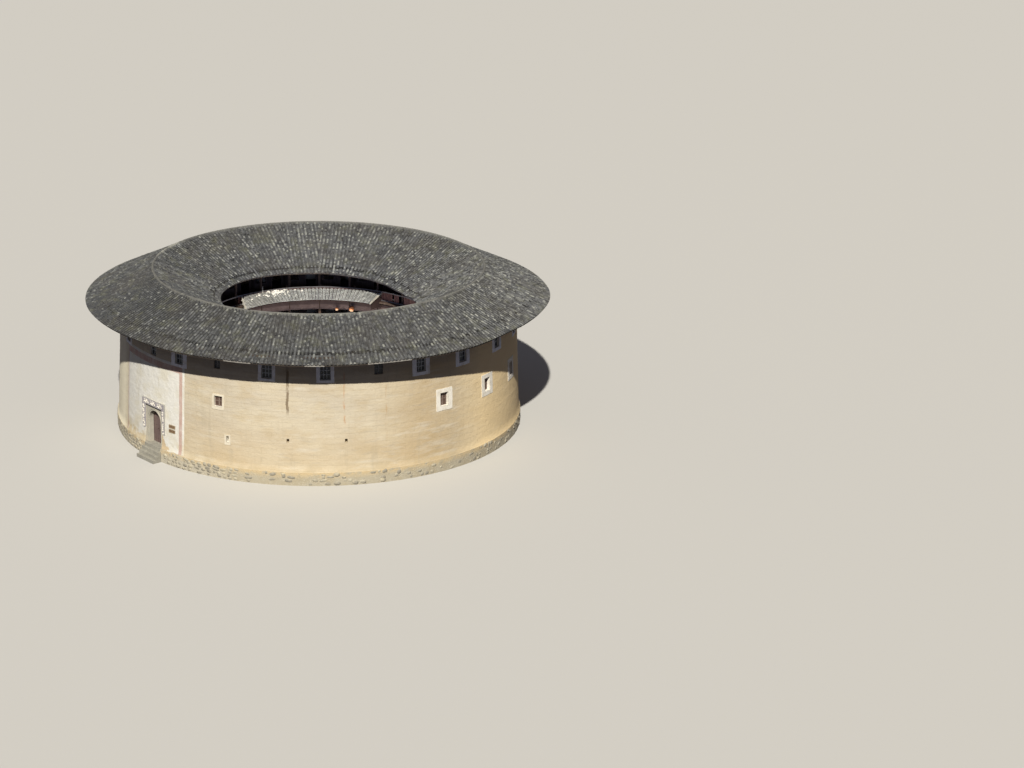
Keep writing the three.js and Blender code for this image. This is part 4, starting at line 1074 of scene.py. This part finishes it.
# Old timber, its dark colour made darker still as painted shade of the galleries
OLD_TIMBER_AND_PAINTED_SHADE = timber_finish("old_timber_and_painted_shade", (62, 48, 40), (92, 74, 60), (36, 28, 24))
RAIL_WOOD = timber_finish("rail_wood", (90, 86, 85), (106, 102, 100), (62, 57, 55), grain=(3, 3, 3))
BOARD_WOOD = timber_finish("balustrade_boards", (84, 56, 52), (102, 76, 70), (54, 36, 34), grain=(12, 12, 1.2))
dress(OLD_TIMBER_AND_PAINTED_SHADE, "floor_beams_second", "floor_beams_third", *[f"gallery_frame_{storey}" for storey in STOREYS])
dress(boarded_finish("floor_boards", (74, 60, 50), (104, 88, 74), (44, 35, 30), 360), "second_floor", "third_floor")
# The room fronts, at the back of the galleries, take the darkest boards: painted shade
dress(boarded_finish("room_boards", (60, 46, 38), (92, 72, 58), (36, 28, 24), 336),
      *[f"room_front_{storey}" for storey in STOREYS])

dice = random.Random(31)
for storey in ("second", "third"):
    floor_level = STOREYS[storey]
    rails, upright = Stock(), Stock()
    inner, outer = BALUSTRADE_RADIUS - RAIL_HALF, BALUSTRADE_RADIUS + RAIL_HALF
    for foot in (floor_level + 0.06, floor_level + BALUSTRADE_HEIGHT - RAIL_HEIGHT):
        top = foot + RAIL_HEIGHT
        rails.ring([(inner, foot), (outer, foot), (outer, top), (inner, top)], 0, 3)
    rails.show(f"rails_{storey}", "timber", RAIL_WOOD, replaces=[f"balustrade_{storey}"])
    for bearing in bearings_at(BALUSTRADE_RADIUS, BALUSTER_STEP):
        if storey == "third" and any(start < bearing < end for start, end in LOST_BOARDS):
            continue
        place = turned(bearing + dice.gauss(0, 0.04))
        half = BALUSTER_STEP / 2 - dice.uniform(0.004, 0.016)
        middle = -BALUSTRADE_RADIUS + dice.uniform(-0.004, 0.004)
        upright.box(place, (-half, middle - 0.012, floor_level + 0.01),
                    (half, middle + 0.012, floor_level + BALUSTRADE_HEIGHT - 0.02))
    upright.show(f"balustrade_boards_{storey}", "timber", BOARD_WOOD)

fronts = Stock()
near, far = -ROOM_FRONT_FACE - 0.09, -ROOM_FRONT_FACE + 0.02
for storey, floor_level in STOREYS.items():
    for bay in range(BAYS):
        place = turned(BAY * bay)
        for left, right, foot, top in (HALL_OPENING,) if (storey, bay) == ("ground", 0) else (ROOM_DOOR, ROOM_WINDOW):
            barred = foot > 0.5
            foot, top = floor_level + foot, floor_level + top
            for start, end in ((left - 0.07, left + 0.02), (right - 0.02, right + 0.07)):
                fronts.box(place, (start, near, foot + 0.002), (end, far, top))
            fronts.box(place, (left - 0.07, near, top), (right + 0.07, far - 0.002, top + 0.09))
            if barred:
                fronts.box(place, (left - 0.09, near, foot - 0.07), (right + 0.09, far + 0.01, foot))
                for x in [left + (right - left) * i / 7 for i in range(1, 7)]:
                    fronts.box(place, (x - 0.015, near + 0.03, foot), (x + 0.015, near + 0.06, top))
fronts.show("room_front_frames", "timber", OLD_TIMBER_AND_PAINTED_SHADE)

# A board hides the beam ends under the top gallery, with a moulding at its foot
trim = Stock()
for section in (GALLERY_BOARD, GALLERY_MOULDING):
    trim.ring(section, BAY / 2, BAY)
trim.show("gallery_trim", "timber", fascia_finish())

# Post stubs over the skirt roof, a thin white pole, and a small frame left in a gap of the boards
oddments = Stock()
stubs = [(bearing, (-0.05, -9.67, 7.36), (0.05, -9.635, 8.42), 0) for bearing in STUB_PLACES]
for bearing, low, high, mark in (*stubs, (WHITE_POLE, (-0.035, -9.50, 8.05), (0.035, -9.44, 8.66), 1),
                                 (SMALL_FRAME_AT, (-0.14, -9.62, 7.36), (-0.10, -9.59, 7.72), 1),
                                 (SMALL_FRAME_AT, (-0.14, -9.62, 7.68), (0.14, -9.59, 7.72), 1)):
    oddments.box(turned(bearing), low, high, mark)
oddments.show("gallery_oddments", "timber", OLD_TIMBER_AND_PAINTED_SHADE, NEW_WOOD)


# Skirt roof
# A narrow tiled roof under the top gallery, over the left part of the yard: boards on rafters, with
# rows that follow the ring. Both ends are cut slanting and closed by a lime verge on upright boards.
SKIRT_EAVE, SKIRT_TOP = 8.15 * ROUNDED, 9.53
SKIRT_EAVE_HEIGHT, SKIRT_TOP_HEIGHT = 7.53, 8.13
SKIRT_LEAN = (SKIRT_TOP_HEIGHT - SKIRT_EAVE_HEIGHT) / (SKIRT_TOP - SKIRT_EAVE)
SKIRT_ROW_STEP, SKIRT_HALF_ROWS, SKIRT_TILT = 1.95, 84, 0.055
# Spacing of the rows at which each kind of tile fits unstretched
COVER_FITS, TROUGH_FITS = 0.287, 0.285
SKIRT_RAFTERS = range(202, 280, 3)
NEAR_END, FAR_END = (200.9, 199.1), (281.5, 275.5)
END_BOARD_FOOT, END_BOARD_BACK = 6.90, 9.52
LUMPS, LIME_HEAP, HEAP_FROM, HEAP_TO = 90, 255.5, 240, 274
LANTERN_RADIUS, LANTERN_TALL, CORD_TOP = 9.45, 1.1, 7.24
LANTERNS = ((223.6, 6.30, 0.13), (215.8, 6.38, 0.22))


def skirt_height(radius, bearing):
    sag = 0.03 * noise.noise(on_ring(bearing, 3.0, 5.0))
    return SKIRT_EAVE_HEIGHT + SKIRT_LEAN * (radius - SKIRT_EAVE) + sag


def end_bearing(end, radius):
    """Bearing of a slanting end at a radius."""
    at_foot, at_top = end
    return at_foot + (at_top - at_foot) * (radius - SKIRT_EAVE) / (SKIRT_TOP - SKIRT_EAVE)


def skirt_tile_finish():
    tile = Finish("skirt_tile", (162, 162, 156))
    tone, bearing = tile.own("tone"), tile.bearing()
    tile.coat(tile.band(tone, 0.05, 9.0, 0.5), (198, 198, 190))
    tile.coat(tile.band(tone, 0.55, 9.0, 0.4), (232, 230, 220))
    tile.coats((5, 0.5, 0.66, (174, 173, 164), 0.45, 4))
    tile.coat(tile.band(bearing, -108, -60, 12), (122, 116, 104), 0.42)
    tile.coat(tile.band(bearing, -180, -148, 8), (128, 128, 122), 0.3)
    tile.coats((22, 0.56, 0.7, (104, 102, 96), 0.5, 3))
    return tile.done((30, 0.006, 4))


def lantern_finish():
    paper = Finish("lantern_paper", (204, 118, 66), roughness=0.7)
    paper.coats(((9, 9, 3), 0.42, 0.62, (226, 170, 122), 0.7))
    paper.coat(paper.band(paper.axes()[2], 5.0, 6.34, 0.08), (240, 208, 172), 0.75)
    return paper.done()


def disc(middle, radius, count=16):
    """Points round a circle that lies level."""
    return [middle + radius * Vector((math.cos(2 * math.pi * i / count), math.sin(2 * math.pi * i / count), 0))
            for i in range(count)]


SKIRT_TILE = skirt_tile_finish()
dice = random.Random(41)
skirt_covers, skirt_troughs = [], []
for half_row in range(SKIRT_HALF_ROWS):
    bearing = FAR_END[0] - 0.8 - SKIRT_ROW_STEP / 2 * half_row
    covering = half_row % 2 == 0
    streak = dice.uniform(-0.25, 0.25)
    radius = SKIRT_EAVE + 0.09
    while radius < SKIRT_TOP - 0.06:
        if end_bearing(NEAR_END, radius) + 0.3 < bearing < end_bearing(FAR_END, radius) - 0.3:
            across = math.radians(SKIRT_ROW_STEP) * radius / (COVER_FITS if covering else TROUGH_FITS)
            turn = (Matrix.Rotation(math.radians(bearing + 180), 3, "Z")
                    @ Matrix.Rotation(dice.gauss(0, 0.03), 3, "Z")
                    @ Matrix.Rotation(SKIRT_TILT - math.atan(SKIRT_LEAN) + dice.gauss(0, 0.015), 3, "X")).to_euler()
            spot = on_ring(bearing, radius, skirt_height(radius, bearing) - (0.012 if covering else 0.03))
            tone = min(max(0.5 + streak + dice.gauss(0, 0.22), 0), 1)
            if covering:
                skirt_covers.append((spot, turn, (across * 1.05, 1.0, 1.05), tone))
            else:
                skirt_troughs.append((spot, turn, (across, 1.0, 1.0), tone * 0.8))
        radius += COVER_STEP * math.cos(math.atan(SKIRT_LEAN))
lay("skirt_tiles", skirt_covers, capping_tile(open_end=True), SKIRT_TILE, "tile", replaces=["skirt_roof"])
lay("skirt_troughs", skirt_troughs, trough_tile(), SKIRT_TILE, "tile")

skirt_wood, verge, lanterns = Stock(), Stock(), Stock()
sheet = []
for share in [k / 26 for k in range(27)]:
    sheet.append([])
    for r, drop in ((SKIRT_EAVE + 0.03, -0.08), (SKIRT_EAVE + 0.03, -0.11), (SKIRT_TOP, -0.11), (SKIRT_TOP, -0.08)):
        bearing = end_bearing(NEAR_END, r) * (1 - share) + end_bearing(FAR_END, r) * share
        sheet[-1].append(on_ring(bearing, r, skirt_height(r, bearing) + drop))
skirt_wood.sweep(sheet)
for bearing in SKIRT_RAFTERS:
    skirt_wood.sweep([[turned(bearing) @ Vector((x, -r, skirt_height(r, bearing) + z)) for x, z in (
        (-0.04, -0.105), (-0.04, -0.195), (0.04, -0.195), (0.04, -0.105))] for r in (SKIRT_EAVE + 0.06, SKIRT_TOP)])
for end, first, verge_half in ((NEAR_END, 0.35, 0.04), (FAR_END, -0.9, 0.07)):
    sides = [[(r, z, end_bearing(end, r) + first + shift) for r, z in (
        (SKIRT_EAVE + 0.18, END_BOARD_FOOT), (END_BOARD_BACK, END_BOARD_FOOT), (END_BOARD_BACK, None),
        (SKIRT_EAVE + 0.18, None))] for shift in (0.0, 0.4)]
    skirt_wood.sweep([[on_ring(bearing, r, z or skirt_height(r, bearing) - 0.10) for r, z, bearing in side]
                      for side in sides])
    outlines = []
    for k in range(9):
        r = SKIRT_EAVE - 0.02 + (SKIRT_TOP - SKIRT_EAVE + 0.02) * k / 8
        bearing, wide = end_bearing(end, r), math.degrees(verge_half / r)
        top = skirt_height(r, bearing) + 0.05 + 0.01 * noise.noise(Vector((k * 1.7, 0, 0)))
        outlines.append([on_ring(bearing + wide * side, r, top + z) for side, z in (
            (-1, -0.13), (1, -0.13), (0.7, 0), (-0.8, -0.005))])
    verge.sweep(outlines)
skirt_wood.show("skirt_boards", "timber", timber_finish(
    "skirt_boards", (54, 40, 37), (70, 54, 49), (34, 26, 24), grain=(12, 12, 1.2)))
verge.show("skirt_verge", "tile", GREY_LIME, smooth_below=40)

# Lumps of fallen lime mortar that lie on the tiles at the far end
lumps = []
for k in range(LUMPS):
    bearing = LIME_HEAP + dice.gauss(0, 3.2 if k % 2 else 9.0)
    radius = SKIRT_TOP - 0.08 - abs(dice.gauss(0, 0.25 if k % 2 else 0.42))
    if HEAP_FROM <= bearing <= HEAP_TO and radius >= SKIRT_EAVE + 0.1:
        size = dice.uniform(0.05, 0.16)
        spot = on_ring(bearing, radius, skirt_height(radius, bearing) + 0.03 + size * 0.2)
        turn = (dice.uniform(0, 1), dice.uniform(0, 1), dice.uniform(0, 6))
        lumps.append((spot, turn, (size * dice.uniform(0.8, 1.6), size, size * 0.7), dice.random()))
lay("mortar_lumps", lumps, rounded_block("lump", 0.22), WHITE_LIME, "tile", seed=4)

# Two paper lanterns on bamboo ribs, hung on cords from the edge of the top gallery
for bearing, height, size in LANTERNS:
    middle, tall = on_ring(bearing, LANTERN_RADIUS, height), size * LANTERN_TALL
    lifts = [math.cos(math.pi * (k + 0.7) / 11.4) for k in range(11)]
    lanterns.sweep([disc(middle + Vector((0, 0, tall * lift)),
                         size * math.sqrt(max(1 - lift * lift, 0.02)) * (1.0 if k % 2 else 0.97))
                    for k, lift in enumerate(lifts)])
    for foot, top, half in ((tall - 0.01, tall + 0.02, size * 0.3), (-tall - 0.01, -tall + 0.01, size * 0.3),
                            (tall, CORD_TOP - height, 0.006)):
        lanterns.box(Matrix.Translation(middle), (-half, -half, foot), (half, half, top), 1)
lanterns.show("lanterns", "timber", lantern_finish(), OLD_TIMBER_AND_PAINTED_SHADE, smooth_below=60)


# White render round the gate
# A coat of lime render, 2 cm thick, with a faded red border on its sides and top.
# It is stained yellow, and at the foot beside the gate it has come off down to the earth.
RENDER_FROM, RENDER_TO, RENDER_FOOT, RENDER_TOP = -16.2, 12.6, 1.12, 8.30
RENDER_PROUD, RENDER_BEDDED = 0.02, 0.03
RED, BARE_EARTH = (190, 156, 142), (200, 178, 142)
RED_LEFT, RED_RIGHT, RED_TOP = -16.0, 11.92, 8.11
GATE_BAND_HALF, GATE_BAND_FOOT, GATE_BAND_TOP = 1.48, 2.28, 4.72


def render_finish():
    coat = Finish("gate_render", (224, 221, 211), roughness=0.92)
    x, y, z = coat.axes()
    bearing = coat.bearing()
    coat.coats(((0.7, 0.7, 0.9), 0.46, 0.64, (214, 206, 182), 0.55),
               ((2.2, 2.2, 2.6), 0.52, 0.68, (230, 227, 218), 0.6, 4))
    coat.coat(coat.both(coat.band(z, -2.0, 3.4, 2.0), coat.patches((0.9, 0.9, 0.7), 0.40, 0.62)),
              (204, 188, 150), 0.6)
    coat.coats(((2.4, 2.4, 0.35), 0.58, 0.72, (196, 188, 166), 0.45))
    # Bare earth where the render has come off, right of the gate and along the foot on the left
    ragged = coat.sum("ADD", z, coat.both(coat.patches(2.6, 0.3, 0.7, 4), 1.1))
    slanted = coat.sum("ADD", ragged, coat.both(coat.band(bearing, 4.0, 40.0, 3.2), 1.3))
    coat.coat(coat.both(coat.band(bearing, 3.6, 7.4, 0.1), coat.band(slanted, -5.0, 2.75, 0.06)), BARE_EARTH, 0.95)
    coat.coat(coat.both(coat.band(bearing, -40.0, -3.4, 0.1), coat.band(ragged, -5.0, 2.15, 0.12)),
              (204, 186, 150), 0.8)
    # The red border
    strips = coat.sum("MAXIMUM", coat.band(bearing, RED_RIGHT - 1.24, RED_RIGHT, 0.08),
                      coat.band(bearing, RED_LEFT, RED_LEFT + 0.65, 0.08))
    strips = coat.sum("MAXIMUM", strips, coat.band(z, RED_TOP - 0.54, RED_TOP, 0.05))
    panel = coat.both(coat.band(bearing, RED_LEFT, RED_RIGHT, 0.08), coat.band(z, 0.0, RED_TOP, 0.05))
    faded = coat.sum("ADD", coat.both(coat.patches((2.5, 2.5, 1.4), 0.25, 0.6, 4), 0.5), 0.5)
    coat.coat(coat.both(coat.both(strips, panel), faded), RED, 0.9)
    coat.coats((14, 0.6, 0.72, (168, 158, 136), 0.4, 3))
    return coat.done((2.5, 0.02, 5), (16, 0.005, 4))


def ragged_foot(angle, height):
    return height + (0.10 * noise.noise(Vector((angle * 0.6, 0, 3))) if height <= RENDER_FOOT + 1e-6 else 0.0)


def render_outside(angle, height):
    edge = min((angle - RENDER_FROM) / 0.3, (RENDER_TO - angle) / 0.3, (RENDER_TOP - height) / 0.1, 1.0)
    height = ragged_foot(angle, height)
    return on_ring(angle, wall_face(angle, height) + RENDER_PROUD * max(edge, 0.2), height)


def render_inside(angle, height):
    return on_ring(angle, wall_face(angle, height) - RENDER_BEDDED, ragged_foot(angle, height))


gate_hole, band_hole = [math.degrees(math.asin(half / WALL_FOOT)) for half in (PASSAGE_HALF, GATE_BAND_HALF)]
render_skin = Stock()
cut_skin(render_skin, steps_with(RENDER_FROM, RENDER_TO, 0.6, {-gate_hole, gate_hole, -band_hole, band_hole}),
         steps_with(RENDER_FOOT, RENDER_TOP, 0.21, {GATE_BAND_FOOT, GATE_BAND_TOP}), render_outside, render_inside,
         [(-gate_hole, gate_hole, 0, GATE_BAND_TOP, 0), (-band_hole, band_hole, GATE_BAND_FOOT, GATE_BAND_TOP, 0)])
render_skin.show("white_render", "plaster", render_finish(), smooth_below=40, replaces=["gate_render"])


# Gate stone, band and steps
# Dressed granite blocks frame an arched doorway, set back behind a plaster band painted grey.
# White roundels and leaves in relief run over the band, in lime on a trowelled ground.
ARCH_RADIUS, ARCH_SPRING, ARCH_FOOT = 0.78, 3.06, 1.12
STONE_FACE, BAND_FACE, RELIEF_DEPTH = -16.15, -16.32, 0.03
ROUNDEL_PLACES, ROUNDEL_HEIGHT = (-0.92, -0.02, 0.88), (PASSAGE_TOP + GATE_BAND_TOP) / 2


def dressed_finish(name, base):
    stone = Finish(name, base, roughness=0.85)
    stone.coats(((0.8, 0.8, 1.4), 0.42, 0.62, (170, 167, 153), 0.5), (3.5, 0.5, 0.66, (200, 195, 178), 0.3, 4),
                ((3.0, 3.0, 0.5), 0.57, 0.72, (146, 144, 132), 0.4), (40, 0.58, 0.7, (124, 122, 114), 0.4, 2))
    return stone.done((24, 0.006, 4))


def band_finish():
    """Grey paint on the face of the band, and white lime on its outer edges."""
    ground = Finish("band_ground", (160, 154, 156))
    x, y, z = ground.axes()
    ground.coats((2.5, 0.42, 0.62, (184, 180, 178), 0.6), ((9, 9, 3), 0.57, 0.7, (124, 120, 124), 0.45, 4))
    sides = ground.band(ground.sum("ABSOLUTE", x), GATE_BAND_HALF - 0.012, 9.0, 0.008)
    ground.coat(ground.sum("MAXIMUM", sides, ground.band(z, GATE_BAND_TOP - 0.012, 9.0, 0.008)), (166, 163, 156))
    return ground.done((14, 0.006, 4))


def bar_along(stock, route, half, face=BAND_FACE):
    """A small raised bar that follows a flat route of (x, z) points on an upright face."""
    outlines = []
    for i, (x, z) in enumerate(route):
        before, after = Vector(route[max(i - 1, 0)]), Vector(route[min(i + 1, len(route) - 1)])
        along = (after - before).normalized()
        outlines.append([(x - along.y * side, y, z + along.x * side) for side, y in (
            (half, face + 0.01), (half * 0.6, face - RELIEF_DEPTH), (-half * 0.6, face - RELIEF_DEPTH),
            (-half, face + 0.01))])
    stock.sweep(outlines)


def curl(x, z, size, turns, direction, start=0.0, count=22):
    """Points of a spiral that opens out from its middle."""
    spiral = [(size * (0.18 + 0.82 * i / count), start + turns * 2 * math.pi * i / count) for i in range(count + 1)]
    return [(x + direction * r * math.cos(a), z + r * math.sin(a)) for r, a in spiral]


def circle_route(x, z, radius, sweep=360.0, count=20):
    turns = [math.radians(sweep * i / count) for i in range(count + 1)]
    return [(x + radius * math.cos(t), z + radius * math.sin(t)) for t in turns]


DRESSED = dressed_finish("dressed_granite", (180, 174, 158))
dress(DRESSED, "gate_surround")
dress(dressed_finish("step_granite", (148, 144, 132)), "gate_step_1", "gate_step_2", "gate_step_3",
      "gate_threshold", "ground_floor")
dress(band_finish(), "gate_band")

relief, moulding = Stock(), Stock()
for x in ROUNDEL_PLACES:
    z = ROUNDEL_HEIGHT
    bar_along(relief, circle_route(x, z, 0.155), 0.022)
    bar_along(relief, curl(x, z, 0.09, 1.2, 1), 0.026)
    for side in (-1, 1):
        bar_along(relief, curl(x + side * 0.27, z - 0.05, 0.075, 0.9, side), 0.024)
        bar_along(relief, [(x + side * 0.19, z + 0.10), (x + side * 0.31, z + 0.13)], 0.02)
dice = random.Random(5)
for side in (-1, 1):
    z = GATE_BAND_FOOT + 0.12
    while z < GATE_BAND_TOP - 0.5:
        x = side * (1.31 + dice.uniform(-0.05, 0.05))
        size = dice.uniform(0.07, 0.12)
        leaf = curl(x, z, size, dice.uniform(0.8, 1.4), side * dice.choice((-1, 1)), dice.uniform(0, 6))
        bar_along(relief, leaf, dice.uniform(0.026, 0.044))
        z += size * dice.uniform(1.7, 2.3)
for radius, half in ((ARCH_RADIUS + 0.035, 0.03), (ARCH_RADIUS + 0.15, 0.012)):
    arch = circle_route(0, ARCH_SPRING, radius, 180, 24)
    bar_along(moulding, [(radius, ARCH_FOOT), *arch, (-radius, ARCH_FOOT)], half, STONE_FACE)
relief.show("band_relief", "plaster", WHITE_LIME, smooth_below=40)
moulding.show("arch_moulding", "dressed_stone", DRESSED, smooth_below=40)


# Gate leaves
# Each leaf is five planks with three battens behind, studded with iron nails, and hangs on wooden pins.
# A ring handle hangs from an iron plate near its free edge.
LEAF_PIVOT_X, LEAF_LINE = 0.945, -15.695
LEAF_FOOT, LEAF_TOP = 1.106, 3.930
LEAF_REACH, LEAF_HALF_DEPTH, LEAF_PLANKS, PLANKS_START = 0.94, 0.035, 5, 0.055
BATTENS, BATTEN_HEIGHT = (1.35, 2.45, 3.60), 0.13
POST_RADIUS, PIN_RADIUS, PIN_LENGTH = 0.049, 0.029, 0.06
RING_RADIUS, RING_THICKNESS, RING_HEIGHT = 0.075, 0.009, 2.28
BOARD_ANGLE, BOARD_HALF, BOARD_LEVELS, BOARD_EDGE = 8.1, 0.35, ((2.66, 2.93), (3.02, 3.29)), 0.028


def door_finish():
    wood = Finish("gate_planks", (112, 94, 90), roughness=0.75)
    wood.coats(((1.5, 1.5, 0.8), 0.42, 0.62, (124, 106, 98), 0.6), ((22, 22, 1.0), 0.46, 0.62, (66, 50, 46), 0.6, 5),
               ((8, 8, 3), 0.6, 0.72, (146, 130, 120), 0.35, 4))
    return wood.done(((26, 26, 1.2), 0.004, 4))


def iron_finish():
    iron = Finish("old_iron", (58, 50, 46), roughness=0.6, sheen=0.5)
    return iron.coats((9, 0.45, 0.65, (94, 62, 44), 0.6, 4)).done((40, 0.002, 3))


def nail_head():
    work = bmesh.new()
    bmesh.ops.create_uvsphere(work, u_segments=8, v_segments=4, radius=0.02)
    return written(work, bpy.data.meshes.new("nail_head"))


DOOR_WOOD, IRON = door_finish(), iron_finish()
for side, name in ((-1, "left"), (1, "right")):
    hinge, body = Matrix.Translation((side * LEAF_PIVOT_X, LEAF_LINE, 0)), f"leaf_{name}"
    leaf, handle = Stock(), Stock()
    plank = (LEAF_REACH - PLANKS_START) / LEAF_PLANKS
    starts = [PLANKS_START + plank * k for k in range(LEAF_PLANKS)]
    parts = [(start + 0.002, start + plank - 0.002, 0.003 * (k % 2) - LEAF_HALF_DEPTH, 0.012,
              LEAF_FOOT, LEAF_TOP - 0.004 * (k % 3)) for k, start in enumerate(starts)]
    parts += [(0.06, LEAF_REACH - 0.02, 0.010, LEAF_HALF_DEPTH, z, z + BATTEN_HEIGHT) for z in BATTENS]
    for near, far, front, back, foot, top in parts:
        left, right = sorted((-side * near, -side * far))
        leaf.box(hinge, (left, front, foot), (right, back, top))
    leaf.sweep([disc(hinge @ Vector((0, 0, z)), radius) for z, radius in (
        (LEAF_FOOT - PIN_LENGTH, PIN_RADIUS), (LEAF_FOOT, PIN_RADIUS), (LEAF_FOOT, POST_RADIUS),
        (LEAF_TOP, POST_RADIUS), (LEAF_TOP, PIN_RADIUS), (LEAF_TOP + PIN_LENGTH, PIN_RADIUS))])
    leaf.show(f"gate_planks_{name}", "door", DOOR_WOOD, smooth_below=30, body=body,
              replaces=[f"gate_leaf_{name}"])
    along = [-side * (0.10 + (LEAF_REACH - 0.15) * k / (2 * LEAF_PLANKS - 1)) for k in range(2 * LEAF_PLANKS)]
    nails = [(hinge @ Vector((x, 0.004 - LEAF_HALF_DEPTH, z + 0.06)), (0, 0, 0), (1, 1, 1), 0.5)
             for z in BATTENS for x in along]
    lay(f"gate_nails_{name}", nails, nail_head(), IRON, "door", body)
    centre = hinge @ Vector((-side * (LEAF_REACH - 0.14), -LEAF_HALF_DEPTH - 0.022, RING_HEIGHT))
    upright = Matrix.Translation(centre) @ Matrix.Rotation(math.pi / 2, 4, "X")
    wire_round = disc(Vector((RING_RADIUS, 0, 0)), RING_THICKNESS, 6)
    handle.sweep([[upright @ Vector((p.x * math.cos(math.pi * k / 10), p.x * math.sin(math.pi * k / 10) - 0.07, -p.y))
                   for p in wire_round] for k in range(20)], loop=True)
    handle.sweep([[upright @ point for point in disc(Vector((0, 0, y)), radius)] for y, radius in (
        (-0.026, 0.055), (-0.018, 0.055), (-0.006, 0.02475), (0.010, 0.011))])
    handle.show(f"gate_ring_{name}", "door", IRON, smooth_below=40, body=body)
dress(timber_finish("gate_lintel_wood", (84, 64, 52), (118, 98, 80), (48, 36, 30), grain=(1.5, 14, 14)),
      "gate_lintel")

# Bare name board in two boards, one over the other, each with a pale moulded edge
board = Stock()
for foot, top in BOARD_LEVELS:
    back = -wall_radius(foot)
    board.box(turned(BOARD_ANGLE), (-BOARD_HALF, back - 0.045, foot), (BOARD_HALF, back + 0.02, top))
    rim(board, turned(BOARD_ANGLE), BOARD_HALF, foot, top, BOARD_EDGE, back - 0.056, back - 0.03, mark=1)
board.show("bare_name_board", "timber",
           timber_finish("name_board_wood", (122, 98, 74), (150, 126, 98), (84, 64, 46), grain=(3, 3, 22)),
           timber_finish("name_board_edge", (190, 172, 140), (206, 192, 164), (150, 130, 100), grain=(3, 3, 22)),
           replaces=["name_board"])
